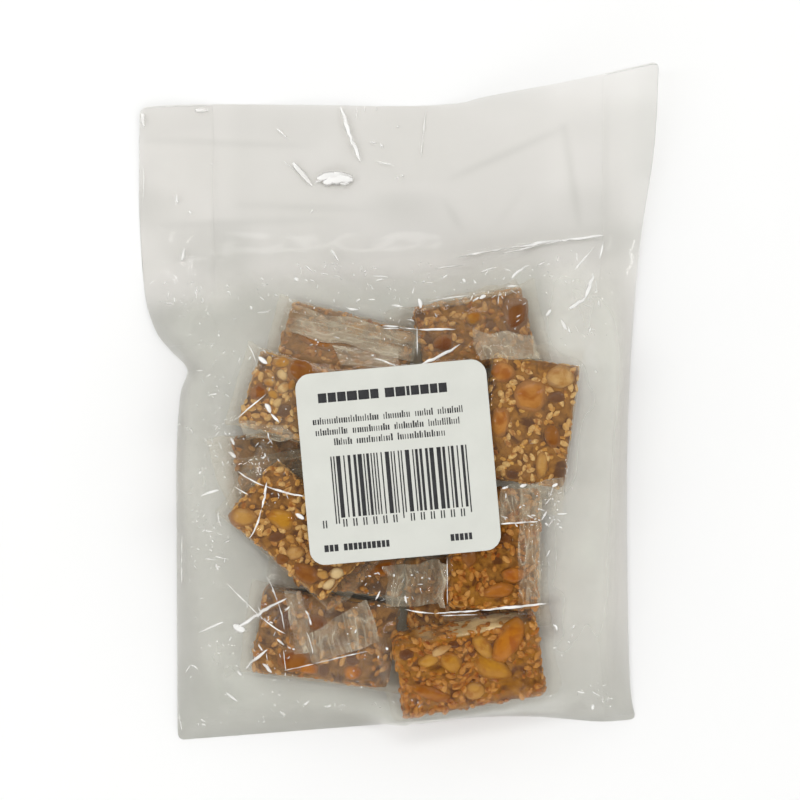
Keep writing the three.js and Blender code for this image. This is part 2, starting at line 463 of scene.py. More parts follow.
brittle, peanut = brittle_material(), peanut_material()
sesame = sesame_material("sesame", srgb(255, 250, 238))
sunk_sesame = sesame_material("sunk sesame", srgb(238, 214, 160))
print("food materials:", [material.name for material in (brittle, peanut, sesame, sunk_sesame)])

# %% [markdown]
# ## Film, paper and print
#
# Film is a mirror that lets most light through. Its mirror part is weak face on and strong at a
# glancing angle. Fresnel would treat the far side of a closed shell as if light came out of a block
# of plastic, so the strength comes from Layer Weight, which is the same from both sides. What isn't
# mirrored is let through, less a thin veil: the haze of the film. Vertices carry the veil's
# strength, how milky it is and how crumpled: a crimp or a fold is milkier than a smooth stretch.
# On the bag film the veil also holds painted light and shade, and on the crease spindles its white
# is a painted glint.

# %% Film materials
CLEAR_FILM, NO_TINT = (0.988, 0.981, 0.971, 1.0), (1.0, 1.0, 1.0, 1.0)
# The second colour here is the painted white of the glints on the crease spindles.
SMOKE, GLINT_WHITE = srgb(92, 104, 80), srgb(252, 251, 248)
MILK, WARM_MILK = srgb(229, 230, 219), srgb(228, 218, 194)


def film_material(name, facets, grain, depth, roughness, mirror_share, tint=CLEAR_FILM, milk=MILK,
                  glancing_share=0.7):
    """Clear film with a veil, a weak mirror and fine crumples."""
    material, tree, place = new_material(name)
    height = relief_height(tree, place, facets, grain, 0.35)
    normal = bumped(tree, maths(tree, "MULTIPLY", height, vertex_number(tree, "crumple")), depth)
    facing = add_node(tree, "ShaderNodeLayerWeight", {"Blend": 0.5, "Normal": normal}).outputs["Facing"]
    mirror = stretched(tree, maths(tree, "POWER", facing, 4.0), 0.0, 1.0, mirror_share, glancing_share)
    longer_way = maths(tree, "MULTIPLY", maths(tree, "POWER", facing, 2.0), 0.06)
    clear = add_node(tree, "ShaderNodeBsdfTransparent", {"Color": tint})
    milk_and_painted_light = add_node(tree, "ShaderNodeBsdfPrincipled", {
        "Base Color": mix_colours(tree, vertex_number(tree, "milk"), SMOKE, milk), "Roughness": 0.6,
        "Specular IOR Level": 0.0, "Normal": normal,
    })
    sheet = add_node(tree, "ShaderNodeMixShader", {
        0: maths(tree, "ADD", vertex_number(tree, "veil"), longer_way), 1: clear.outputs[0],
        2: milk_and_painted_light.outputs[0],
    })
    shine = add_node(tree, "ShaderNodeBsdfGlossy", {
        "Color": (1, 1, 1, 1), "Roughness": roughness, "Normal": normal,
    })
    return surfaced(material, {0: mirror, 1: sheet.outputs[0], 2: shine.outputs[0]}, "ShaderNodeMixShader")


bag_plastic = film_material("bag film", 210, 520, 0.0004, 0.05, 0.009)
fold_plastic = film_material("side fold film", 120, 420, 0.0003, 0.08, 0.0, NO_TINT)
wrapper_plastic = film_material("wrapper film", 330, 1100, 0.0004, 0.07, 0.008, CLEAR_FILM, WARM_MILK, 0.3)
# The crease spindles' film: its near-white veil is a painted glint, in place of the lamps' highlights on the
# sharpest creases.
painted_glint_plastic = film_material("crease film", 900, 2600, 0.00005, 0.2, 0.02, NO_TINT, GLINT_WHITE, 0.1)
print("made four film materials")

# %% Paper and print materials
def plain_material(name, light, dark, scale, roughness, grain_depth):
    """A dull surface with slight clouds and a fine grain."""
    material, tree, place = new_material(name)
    return surfaced(material, {
        "Base Color": mottled(tree, place, scale, light, dark, dark, 0.2), "Roughness": roughness,
        "Normal": bumped(tree, relief_height(tree, place, 2500, 6000, 0.8), grain_depth),
    })


paper = plain_material("label paper", srgb(216, 217, 209), srgb(211, 212, 204), 90, 0.55, 0.00002)
print_black = plain_material("label print", srgb(38, 38, 41), srgb(26, 26, 29), 900, 0.6, 0.00002)
floor_white = plain_material("floor", srgb(250, 250, 249), srgb(248, 248, 247), 6, 0.9, 0.00001)
print("plain materials:", paper.name, print_black.name, floor_white.name)

# %% [markdown]
# ## The slabs
#
# The brittle is rolled flat and cut, so a slab is a block with straight sides and slightly rounded
# edges, made lumpy by nuts and seeds. A box whose six faces are grids can be rounded and then pushed
# in and out by noise, which a bevelled cube couldn't.
#
# The eleven slabs lie two deep. Each place is the middle of a wrapped slab. Yaw turns it on the
# table, roll lifts the side on its left as it points along its length, and pitch lowers its far end.

# %% Places of the slabs
SLAB_THICKNESS = 9.5
SLAB_WORDS = ("x", "y", "z", "yaw", "length", "width", "tone", "pitch", "roll")
SLABS = [dict(zip(SLAB_WORDS, (*row, 0, 0))) for row in (
    (-14.8, 12.7, 5.6, -14, 35.5, 21, 0.7),
    (19.9, 18.0, 5.6, 12, 30.8, 20.5, 1.0),
    (-23.8, -1.3, 15.8, -17, 34, 21, 0.35, 0, -2),
    (33.8, -5.6, 15.6, 83, 33.5, 23.6, 0.6, -2),
    (-26.3, -34.4, 15.7, -41, 34.8, 21, 0.4),
    (24.7, -39.1, 15.6, 89, 32.5, 24.5, 0.7, 2),
    (-19.9, -64.1, 5.5, -8, 38, 23.6, 0.1),
    (18.4, -70.2, 11.9, 10, 39.3, 23.4, 1.0, 0, 19),
    (18.2, -51.2, 5.6, 3, 34.4, 19.8, 0.55),
    (-13.2, -43.1, 5.6, -6, 30, 18.0, 0.4),
    (-27.0, -19.2, 5.6, 8, 34, 23.5, 0.35),
)]


def three_turns(yaw, pitch, roll):
    """The rotation that rolls, then pitches, then yaws by so many degrees, as a 3 by 3 array."""
    z, y, x = (Matrix.Rotation(math.radians(angle), 3, axis)
               for angle, axis in zip((yaw, pitch, roll), "ZYX"))
    return np.array(z @ y @ x)


def slab_turn(slab):
    return three_turns(slab["yaw"], slab["pitch"], slab["roll"])


def place(points, slab):
    """Points of a slab's own frame, moved to where the slab lies."""
    return np.asarray(points) @ slab_turn(slab).T + (slab["x"], slab["y"], slab["z"])


print(len(SLABS), "slabs of about", SLAB_THICKNESS, "mm")

# %% The top of the pile
CLEARANCE = 0.75  # of the bag film over the slabs
SHOULDER = 1.8  # how far beyond a slab its rounded shoulder reaches


def own_frame(points, thing):
    """Points as seen along and across a thing that lies turned on the table."""
    yaw = math.radians(thing["yaw"])
    away = points - (thing["x"], thing["y"])
    return (away[..., 0] * math.cos(yaw) + away[..., 1] * math.sin(yaw),
            away[..., 1] * math.cos(yaw) - away[..., 0] * math.sin(yaw))


def pile_top(points):
    """The height of the wrapped slabs, with a rounded shoulder along their sides."""
    top = np.zeros(points.shape[:-1])
    for slab in SLABS:
        length_way, width_way = own_frame(points, slab)
        beyond = np.hypot(np.maximum(np.abs(length_way) - slab["length"] / 2, 0),
                          np.maximum(np.abs(width_way) - slab["width"] / 2, 0))
        normal = slab_turn(slab)[:, 2]
        slope = (normal[:2] * (points - (slab["x"], slab["y"]))).sum(axis=-1)
        face = slab["z"] + (SLAB_THICKNESS / 2 - slope) / normal[2] + CLEARANCE
        drop = SHOULDER - np.sqrt(np.maximum(SHOULDER**2 - beyond**2, 0))
        top = np.maximum(top, np.where(beyond < SHOULDER, face - drop, 0))
    return top


print("the pile is", pile_top(np.array([[-24.0, 0.0], [0.0, 60.0]])), "mm high at two places")

# %% [markdown]
# ## The peanuts
#
# Halves and pieces of peanut lie flush in the faces, with only a low dome over the caramel. Those on
# the faces that show are listed: along the slab, across it, length, width, turn and tone.
# The faces below get some at random, and the cut sides show flat, paler cuts.

# %% Places of the peanuts
PEANUTS = {
    0: [(-7.8, 2.1, 11.8, 5.4, -6, "apricot"), (-9.3, 1.4, 3.2, 3.7, 14, "dark"),
        (14, 7.6, 5, 3.5, 4, "tan"), (1.5, 6.5, 6.5, 4.2, 30, "yellow")],
    1: [(12, 2.5, 9.6, 6.4, 68, "brown"), (0.6, 3.8, 4.6, 3.7, -12, "yellow"),
        (-9, -1, 6, 4, 15, "brown"), (4.6, 1, 3, 2.6, 0, "dark")],
    2: [(-3.9, 7.2, 8.9, 5.8, 2, "brown"), (-10.3, 8.4, 4.4, 2.8, 17, "tan"),
        (-7.7, 2.2, 3.6, 2.5, 47, "cream"), (-9.9, -0.2, 3.1, 2.2, -17, "tan"),
        (-8.1, -1.9, 3, 2.3, 67, "cream"), (-13.6, -0.8, 4.7, 3.7, 57, "brown"),
        (-5.9, 3.6, 3, 2.1, 87, "tan"), (-11.6, 2.4, 3.4, 2.2, 7, "tan"),
        (-9, 5.3, 3.2, 2.4, -37, "cream"),
        (-6, -3.4, 4.2, 3.7, 17, "dark")],
    3: [(6.8, 0.6, 8.9, 8.4, -83, "apricot"), (12.6, -6.8, 7.3, 5.8, -93, "tan"),
        (-1, 7.6, 7.8, 5.4, -3, "apricot"), (12, 8.2, 5.7, 5, -83, "apricot"),
        (-11, -4.8, 6.8, 3.1, 2, "tan"), (-14.2, 2.4, 3.7, 2.6, -83, "dark"),
        (7.4, -6.4, 4.2, 3.1, -83, "dark"), (-3, -6.5, 6, 4, 20, "brown")],
    4: [(-13.4, -6.8, 7.3, 4.8, 41, "tan"), (-5.7, -0.7, 7.2, 5.2, 21, "yellow"),
        (2.8, -4.8, 4.7, 3.2, 41, "tan"), (8.4, -7, 7.4, 4.4, 11, "brown"),
        (14.6, -1.8, 3.8, 2.7, 41, "cream"), (-3.6, -5.1, 4.4, 2.6, 61, "dark"),
        (1.4, -8.4, 3.1, 2.6, 41, "brown"), (6.3, -2.4, 3.6, 2.4, 71, "tan"),
        (9.8, -1, 3.4, 2.3, -19, "cream"), (12, -4.6, 3.3, 2.3, 21, "tan"),
        (14.9, -5.4, 3.4, 2.4, 81, "cream"), (4.6, 0.6, 3.2, 2.1, 11, "tan"),
        (13.2, 0.9, 3, 2.2, -49, "tan"), (-0.4, -3, 3.2, 2.1, 1, "tan")],
    5: [(-11, -1, 7.9, 3.7, -74, "orange"), (-6.8, -5.3, 6.3, 3.7, -84, "orange"),
        (-2, 6.5, 6, 4.5, 10, "brown"), (3, -3, 3, 2.8, 0, "dark")],
    6: [(-7.6, -6.6, 8, 6, 12, "brown"), (-3.4, -8.4, 5.4, 3.2, 2, "orange"),
        (8.6, -7.8, 4.8, 3.7, 12, "orange"), (7.8, -4.6, 4.3, 3.2, 12, "dark"),
        (0.5, -8.4, 3.2, 3.2, 12, "dark"), (-11.5, 3, 6.5, 4.5, 60, "dark"),
        (-3, 4, 5, 4, 0, "brown"), (4, 0, 5, 3.4, 40, "dark")],
    7: [(10.8, 6.2, 11.9, 6.4, 50, "amber"), (6, -0.4, 11, 6.2, -37, "yellow"),
        (-4.6, 3.4, 6.4, 4.5, -60, "yellow"), (4.2, 6.6, 7.2, 4, -65, "yellow"),
        (-11.3, -4.6, 10.6, 3.7, -30, "toffee"), (0.4, -6.2, 5.3, 5, -10, "tan"),
        (-10.6, 5.2, 5.6, 3.4, 10, "yellow"), (-7, 7.4, 6, 2.6, 15, "tan"),
        (-3.1, 8.4, 3.2, 2.6, -10, "dark"), (-16, 8, 3.7, 3.2, -10, "dark"),
        (1.2, 5, 2.4, 2.4, -10, "dark")],
}
NUT = {"thickness": 3.4, "proud": 1.0, "around": 20, "rings": 12, "footprint": 1.12}
CUT = {"thickness": 1.6, "proud": 0.2, "count": 6}
CORE = {"thickness": 8.6, "inset": 1.4, "edge": 1.0, "cells": (46, 30, 12), "skew": 0.5}
# For the top, the underside and the four sides of a slab: its right, its up and its axis.
FACES = [
    ((1, 0, 0), (0, 1, 0), 2), ((1, 0, 0), (0, -1, 0), 2), ((1, 0, 0), (0, 0, -1), 1),
    ((1, 0, 0), (0, 0, 1), 1), ((0, 1, 0), (0, 0, 1), 0), ((0, 1, 0), (0, 0, -1), 0),
]


def nut_form(length, width, thickness, seed):
    """A flattish half nut, lying along X, a little bent and uneven, and how far it is sunk."""
    points, faces = globe(NUT["around"], NUT["rings"])
    points[:, 2] = np.sign(points[:, 2]) * np.abs(points[:, 2]) ** 0.7
    far = np.hypot(points[:, 0], points[:, 1])
    sunk = 0.7 * ramp(far, 0.5, 1.0) ** 1.5
    points[:, 0] += 0.12 * (points[:, 1] ** 2) * (1 if seed % 2 else -1)
    uneven = 0.15 * noise(points + seed, 0.9, seed) + 0.12 * noise(points + seed, 0.45, seed + 1)
    points = points * (1 + uneven[:, None] * (1, 1, 0.4))
    # Only the upper cap shows, so the whole form is larger than the nut's footprint.
    size = np.array([length * NUT["footprint"], width * NUT["footprint"], thickness])
    return points * size / 2, faces, sunk


def core_half(slab):
    """Half the size of a slab's core along its three axes."""
    return np.array([slab["length"] - CORE["inset"], slab["width"] - CORE["inset"], CORE["thickness"]]) / 2


def set_on_face(points, slab, face, along, across, depth, turn):
    """Lays a form on a face of a slab, sunk by a depth."""
    right, up, axis = FACES[face]
    c, s = math.cos(math.radians(turn)), math.sin(math.radians(turn))
    x = points[:, 0] * c - points[:, 1] * s + along
    y = points[:, 0] * s + points[:, 1] * c + across
    level = points[:, 2] + core_half(slab)[axis] - depth
    return place(np.outer(x, right) + np.outer(y, up) + np.outer(level, np.cross(right, up)), slab)


def random_nuts(chance, slab, most=7):
    """A few nuts for a face that isn't seen from above, kept off each other."""
    spots = []
    for _ in range(40):
        length, width = chance.uniform(5, 11), chance.uniform(3.5, 6)
        along = chance.uniform(-1, 1) * (slab["length"] / 2 - length / 2 - 1.5)
        across = chance.uniform(-1, 1) * (slab["width"] / 2 - width - 0.5)
        if all(math.hypot(along - s[0], across - s[1]) > (length + s[2]) / 2 for s in spots):
            tone = chance.choice(["orange", "yellow", "brown", "tan", "orange", "dark"])
            spots.append((along, across, length, width, chance.uniform(-90, 90), tone))
    return spots[:most]


print("peanuts placed by hand:", sum(map(len, PEANUTS.values())))

# %% [markdown]
# ### The slabs' cores
#
# With the nuts' places known, the caramel can dip a little under each of them.

# %% Cores of the slabs
SUGARY_SLAB = 7  # the one that stands on its side, with sugar on the cut that faces up


def rounded_box(unit, half, edge):
    """Points of a box from -1 to 1 at its real size with round edges, and their way outwards."""
    point = unit * half
    inner = np.clip(point, edge - half, half - edge)
    outward = point - inner
    outward = outward / np.linalg.norm(outward, axis=-1, keepdims=True)
    return inner + outward * edge, outward


def slab_core(number, slab):
    """The block of caramel, with numbers for its tone and for the sugar on it."""
    unit, faces = box_grid(CORE["cells"])
    half = core_half(slab)
    points, outward = rounded_box(unit, half, CORE["edge"])
    seed = 10 * number
    on_side = 1 - np.abs(outward[:, 2])
    lumps = 0.35 * noise(points, 3.0, seed) + 0.2 * noise(points, 1.3, seed + 1)
    lumps += on_side * 0.45 * noise(points, 6.0, seed + 2)
    points = points + outward * lumps[:, None]
    points[:, 0] += CORE["skew"] * noise([[number, 0.5]], 1.7, 3)[0] * points[:, 1] / half[1]
    for along, across, length, width, turn, _ in PEANUTS.get(number, []):
        aside = own_frame(points[:, :2], {"x": along, "y": across, "yaw": turn})
        reach = np.hypot(aside[0] / length, aside[1] / width)
        points[:, 2] -= 0.55 * ramp(-reach, -0.52, -0.3) * ramp(outward[:, 2], 0.5, 0.9)
    tone = slab["tone"] + 0.45 * noise(points, 7.0, seed + 4) + 0.2 * noise(points, 2.5, seed + 5)
    sugar = 0.25 * ramp(noise(points, 5.0, seed + 6), 0.1, 0.7) * on_side
    if number == SUGARY_SLAB:
        patch = 0.55 + 0.45 * ramp(noise(points, 4.0, seed + 7), -0.35, 0.1)
        run = ramp(points[:, 0], -5, -1) * ramp(-points[:, 0], -17, -13)
        sugar = np.maximum(sugar, patch * ramp(outward[:, 1], 0.3, 0.75) * run)
    return points, faces, np.clip(tone, 0, 1), np.clip(sugar, 0, 1)


cores = [slab_core(number, slab) for number, slab in enumerate(SLABS)]
for number, (points, faces, tone, sugar) in enumerate(cores):
    core_numbers = {"tone": tone, "sugar": sugar}
    make_piece(f"brittle_slab_{number + 1:02d}", place(points, SLABS[number]), faces, brittle, "brittle",
               core_numbers)
print("made", len(cores), "slab cores of", len(cores[0][1]), "faces")

# %% Make the peanuts
def peanut_forms():
    """All nuts as (points, faces), with the tone of each and how far its vertices are sunk."""
    chance = np.random.default_rng(11)
    forms, tones, depths = [], [], []
    for number, slab in enumerate(SLABS):
        spots = [(0, NUT, *spot) for spot in PEANUTS.get(number) or random_nuts(chance, slab)]
        spots += [(1, NUT, *spot) for spot in random_nuts(chance, slab)]
        for _ in range(CUT["count"]):
            face = int(chance.integers(2, 6))
            reach = (slab["length"] if face < 4 else slab["width"]) / 2 - 4
            tone = chance.choice(["cream", "tan", "orange", "yellow"])
            spots.append((face, CUT, chance.uniform(-reach, reach), chance.uniform(-1.5, 1.5),
                          chance.uniform(4, 7), chance.uniform(2.5, 4), chance.uniform(-15, 15), tone))
        for face, kind, along, across, length, width, turn, tone in spots:
            low = tone == "dark"
            thickness = kind["thickness"] * (0.6 if low else 1)
            points, faces, sunk = nut_form(length, width, thickness, len(forms))
            depth = thickness / 2 - kind["proud"] * (0.4 if low else 1)
            forms.append((set_on_face(points, slab, face, along, across, depth, turn), faces))
            tones.append(np.full(len(points), tone_number(tone) + chance.uniform(-0.04, 0.04)))
            depths.append(sunk if kind is NUT else 0 * sunk)
    return forms, {"tone": np.concatenate(tones), "sunk": np.concatenate(depths)}


nuts, nut_numbers = peanut_forms()
make_piece("peanuts", *join_forms(nuts), peanut, "peanut", nut_numbers)
print("made", len(nuts), "peanuts")

# %% [markdown]
# ## The sesame seeds
#
# A few thousand seeds are spread over every face and crowded in some places. That is work for
# Geometry Nodes: points are strewn over the cores with a least distance between them, thinned by
# noise, and a seed is set on each, turned at random round the way out of the face. Instances don't
# survive an export, so the tree ends by making them real, and the result becomes a plain mesh.

# %% One seed
SEED = {"length": 3.2, "width": 1.9, "thickness": 1.1, "around": 6, "rings": 5}


def seed_form():
    """A teardrop that lies along X with its tip at the far end."""
    points, faces = globe(SEED["around"], SEED["rings"])
    narrowing = 1 - 0.45 * ramp(points[:, 0], -0.2, 1.0)
    points[:, 1:] *= narrowing[:, None]
    return points * np.array([SEED["length"], SEED["width"], SEED["thickness"]]) / 2, faces


seed_mesh = bpy.data.meshes.new("one seed")
seed_points, seed_faces = seed_form()
seed_mesh.from_pydata((seed_points * MM).tolist(), [], seed_faces)
one_seed = bpy.data.objects.new("one_seed", seed_mesh)
print("a seed has", len(seed_faces), "faces")

# %% The tree that strews seeds
def strewing_tree():
    """Strews an object over a mesh: crowded in places, lying flat, and each with a tint."""
    tree, given, result = new_group(
        "strew seeds", "GeometryNodeTree",
        [("Geometry", "Geometry"), ("Gap", "Float", 0.0013), ("Density", "Float", 250000.0),
         ("Clump size", "Float", 120.0), ("Clump edge", "Float", 0.42), ("Lean", "Float", 0.35),
         ("Depth", "Float", 0.0001), ("Chance", "Int", 4), ("Seed", "Object"), ("Finish", "Material")],
        [("Geometry", "Geometry")],
    )
    spot = add_node(tree, "GeometryNodeInputPosition").outputs[0]
    clumps = add_node(tree, "ShaderNodeTexNoise", {
        "Vector": spot, "Scale": given["Clump size"], "Detail": 1.0,
    })
    crowding = stretched(tree, clumps.outputs["Fac"], 0.3, given["Clump edge"])
    normal = add_node(tree, "GeometryNodeInputNormal").outputs[0]
    way_out = add_node(tree, "ShaderNodeSeparateXYZ", {0: normal})
    above = stretched(tree, way_out.outputs["Z"], -0.6, 0.0, 0.35)
    seeded = add_node(tree, "GeometryNodeInputNamedAttribute", {"Name": "seeded"})
    crowded = maths(tree, "MULTIPLY", crowding, seeded.outputs[0])
    strewn = add_node(tree, "GeometryNodeDistributePointsOnFaces", {
        "Mesh": given["Geometry"], "Distance Min": given["Gap"], "Density Max": given["Density"],
        "Density Factor": maths(tree, "MULTIPLY", crowded, above), "Seed": given["Chance"],
    }, distribute_method="POISSON")
    whole_turn = add_node(tree, "FunctionNodeRandomValue", {"Min": 0.0, "Max": math.tau, "Seed": 1})
    lean = add_node(tree, "FunctionNodeRandomValue", {
        2: maths(tree, "MULTIPLY", given["Lean"], -1.0), 3: given["Lean"], "Seed": 2,
    })
    own_turn = add_node(tree, "ShaderNodeCombineXYZ", {"Y": lean.outputs[1], "Z": whole_turn.outputs[1]})
    as_turn = add_node(tree, "FunctionNodeEulerToRotation", {0: own_turn.outputs[0]})
    turned = add_node(tree, "FunctionNodeRotateRotation", {
        0: strewn.outputs["Rotation"], 1: as_turn.outputs[0],
    }, rotation_space="LOCAL")
    seed = add_node(tree, "GeometryNodeObjectInfo", {"Object": given["Seed"]})
    size = add_node(tree, "FunctionNodeRandomValue", {"Min": 0.72, "Max": 1.05, "Seed": 3})
    laid = add_node(tree, "GeometryNodeInstanceOnPoints", {
        "Points": strewn.outputs["Points"], "Instance": seed.outputs["Geometry"],
        "Rotation": turned.outputs[0], "Scale": size.outputs[1],
    })
    shift = add_node(tree, "ShaderNodeCombineXYZ", {"Z": maths(tree, "MULTIPLY", given["Depth"], -1.0)})
    sunk = add_node(tree, "GeometryNodeTranslateInstances", {
        "Instances": laid.outputs[0], "Translation": shift.outputs[0], "Local Space": True,
    })
    tint = add_node(tree, "FunctionNodeRandomValue", {"Min": 0.0, "Max": 1.0, "Seed": 5})
    stored = add_node(tree, "GeometryNodeStoreNamedAttribute", {
        "Geometry": sunk.outputs[0], "Name": "tint", "Value": tint.outputs[1],
    }, domain="INSTANCE")
    real = add_node(tree, "GeometryNodeRealizeInstances", {0: stored.outputs[0]})
    finished = add_node(tree, "GeometryNodeSetMaterial", {
        "Geometry": real.outputs[0], "Material": given["Finish"],
    })
    tree.links.new(finished.outputs[0], result["Geometry"])
    return tree


strewing = strewing_tree()
print("the strewing tree has", len(strewing.nodes), "nodes")

# %% Strew the seeds
# How pale the seeds of each slab are: 0 for well toasted, 1 for cream. Then how many it has.
PALE = [0.3, 0.4, 0.75, 0.85, 0.72, 0.12, 0.3, 0.08, 0.3, 0.3, 0.3]
SEEDED = [0.7, 0.7, 0.9, 0.75, 0.9, 0.9, 0.5, 1.0, 0.6, 0.6, 0.6]
# Some seeds lie on the caramel and many are sunk in it, with only their backs showing.
STREWN = {
    "sesame_seeds": {"Seed": one_seed, "Finish": sesame},
    "sunk_seeds": {"Seed": one_seed, "Finish": sunk_sesame, "Depth": 0.00036, "Chance": 9,
                   "Clump edge": 0.34, "Gap": 0.0014},
}


def strew_seeds(name, values):
    """Runs the tree on all cores together and keeps the result as a plain mesh."""
    bed_points, bed_faces = join_forms([(place(core[0], slab), core[1]) for core, slab in zip(cores, SLABS)])
    numbers = {}
    for key, amounts in (("pale", PALE), ("seeded", SEEDED)):
        numbers[key] = np.concatenate([np.full(len(core[0]), amount) for core, amount in zip(cores, amounts)])
    numbers["seeded"] *= 1 - 0.7 * np.concatenate([sugar for _, _, _, sugar in cores])
    bed = bpy.data.objects.new("bed", make_mesh("bed", bed_points, bed_faces, brittle, numbers))
    bpy.context.scene.collection.objects.link(bed)
    modifier = bed.modifiers.new("strew", "NODES")
    modifier.node_group = strewing
    for item in strewing.interface.items_tree:
        if item.in_out == "INPUT" and item.name in values:
            modifier[item.identifier] = values[item.name]
    bed.update_tag()
    mesh = bpy.data.meshes.new_from_object(bed.evaluated_get(bpy.context.evaluated_depsgraph_get()))
    mesh.name = name
    mesh.polygons.foreach_set("use_smooth", [True] * len(mesh.polygons))
    bed.modifiers.remove(modifier)
    bpy.data.objects.remove(bed)
    return mesh


for name, values in STREWN.items():
    seeds_mesh = strew_seeds(name, values)
    show_mesh(seeds_mesh)
    print(name, len(seeds_mesh.vertices) // len(seed_points), "seeds,", len(seeds_mesh.polygons), "faces")
bpy.data.objects.remove(one_seed)

# %% [markdown]
# ## The wrappers
#
# Each slab is in a flow wrap: a tube of film, sealed along its back with a fin and crimped flat at
# both ends. The tube keeps its girth, so it gets wider as it gets thinner towards the crimp. Each
# ring is a rounded rectangle whose half sides have the same sum, which gives just that. The rings
# ride on a centre line that bends beyond the slab's ends, so that the tails droop or swing aside.

# %% Sizes and tails of the wrappers
WRAP = {
    "gap": 0.3, "corner": 1.3, "fold": 3.5, "crimp": 7.0, "crimp_half": 0.14, "around": 112, "step": 0.55,
    "gather": 0.78,
}

# For each slab its near tail, at the start of its length, and its far tail. Each: its drop in
# degrees, how much of its crimp lies flat, and a swing and a twist in degrees where it has them.
TAILS = [
    ((80, 0.05), (40, 0.4, 10)), ((40, 0.4, -10), (62, 0.2)), ((80, 0.05), (25, 0.7)),
    ((72, 0.15), (66, 0.15)), ((62, 0.25, 0, 8), (62, 0.2)), ((74, 0.15), (40, 0.3)),
    ((80, 0.05), (34, 0.5)), ((60, 0.2), (62, 0.2)), ((14, 0.8), (48, 0.3)), ((8, 0.6), (8, 0.6)),
    ((42, 0.35, -10), (8, 0.8)),
]

# The fin of a wrapper lies on the face that shows (1) or on the one below (-1). Its other numbers
# are its place across, its width and its veil.
PLAIN_FIN = (-1, 0.0, 5.0, 0.07)
FINS = {
    0: (1, 5.4, 7.4, 0.24), 2: (-1, 2, 5, 0.07), 4: (-1, -2, 5, 0.07), 5: (1, -9, 5.8, 0.1),
    10: (1, 1, 10, 0.16),
}

# How loosely each wrapper lies round its slab, in millimetres, and how hazy its film is.
LOOSE = [0.35, 0.35, 0.3, 0.14, 0.26, 0.1, 0.3, 0.1, 0.25, 0.25, 0.35]
HAZE = [0.3, 0.2, 0.22, 0.09, 0.06, 0.0, 0.16, 0.0, 0.08, 0.18, 0.34]

# Stretches of loose wrapper that lie on top of the pile. Each: its slab, the middle of its veil and
# its corners as x, y and height. Its streaks run from the first two corners to the last two.
FLAPS = [
    (3, 0.1, (25.6, -22.5, 20.9), (42.3, -20.6, 20.9), (42.6, -30.1, 20.6), (25.9, -32.4, 20.6)),
    (3, 0.12, (20.6, 10.8, 17), (36.4, 11.3, 17), (36, 17.6, 12.3), (19.2, 18.7, 12)),
    (4, 0.08, (-25.1, -62.4, 12), (-9, -52.8, 16), (-5.3, -64, 12), (-24, -70.9, 12)),
    (2, 0.1, (-41, -10.1, 13), (-42.3, -5.3, 16), (-30.3, -6.6, 17), (-26.5, -10.6, 14)),
    (0, 0.12, (-16, 9.8, 13), (-18.7, 14.9, 12.2), (0, 13.3, 12.5), (0, 9, 14)),
    (1, 0.1, (6.4, 23.8, 11.3), (6.7, 26.7, 11.3), (31.2, 31.8, 11.3), (32.3, 29.4, 11.3)),
    (9, 0.13, (-4.3, -44, 12), (12.3, -42.7, 12), (11.8, -54.8, 9), (-3.2, -55.4, 8)),
    (6, 0.1, (-31.2, -50.1, 12), (-26.7, -50.7, 12), (-21.9, -66.7, 11.6), (-27.7, -68, 11.6)),
]
print("wrappers:", len(TAILS), "fins that show:", [k + 1 for k, fin in FINS.items() if fin[0] > 0])

# %% Crumples and streaks
def crumple(points, size, seed, slope=0.3):
    """Sharp crests between shallow bowls, as in creased film: from 0 up to about 1.

    Each cell of a jittered grid has a bowl with a level and a slope of its own, and the lowest bowl
    counts, so neighbours meet in a crest.
    """
    points = np.asarray(points, float) / size
    base = np.floor(points).astype(np.int64)
    lowest = np.full(points.shape[:-1], np.inf)
    for dx, dy in itertools.product(range(-2, 3), repeat=2):
        cx, cy = base[..., 0] + dx, base[..., 1] + dy
        draws = [lattice(cx, cy, 0 * cx + k, seed) for k in range(5)]
        away_x, away_y = points[..., 0] - (cx + draws[0]), points[..., 1] - (cy + draws[1])
        bowl = 0.5 * draws[2] + slope * 2 * ((draws[3] - 0.5) * away_x + (draws[4] - 0.5) * away_y)
        lowest = np.minimum(lowest, bowl + 0.9 * (away_x**2 + away_y**2))
    return np.clip(lowest, 0, 1.5)


def streaks(points, size, seed, stretch=6.0):
    """Thin lines along the first axis, as in pulled film: 1 on a line and 0 between."""
    drawn = points / (stretch, 1.0)
    wide = 1 - np.abs(noise(drawn, size, seed))
    fine = 1 - np.abs(noise(drawn + 40.5, 0.55 * size, seed + 1))
    return np.maximum(wide**12, 0.7 * fine**9)


patch = np.stack(np.meshgrid(np.arange(0, 50, 0.5), np.arange(0, 50, 0.5)), axis=-1)
print("crumples go up to", crumple(patch, 7, 1).max().round(2))
print("streaks cover", (100 * (streaks(patch, 1.0, 2) > 0.5).mean()).round(), "percent")

# %% The rings of a wrapper
def girth_points(half_width, half_height, corner, parts):
    """Points round a rounded rectangle, at even parts of its girth, and their way outwards."""
    total = half_width + half_height
    along = parts * 4 * total

    def zigzag(distance):
        return np.abs((distance - total) % (4 * total) - 2 * total) - total

    square = joined(
        np.clip(zigzag(along + total), -half_width, half_width),
        np.clip(zigzag(along), -half_height, half_height),
    )
    half = np.stack(np.broadcast_arrays(half_width, half_height), axis=-1)
    corner = corner[..., None]
    inner = np.clip(square, corner - half, half - corner)
    outward = square - inner
    outward = outward / np.maximum(np.linalg.norm(outward, axis=-1, keepdims=True), 1e-9)
    return inner + outward * corner, outward


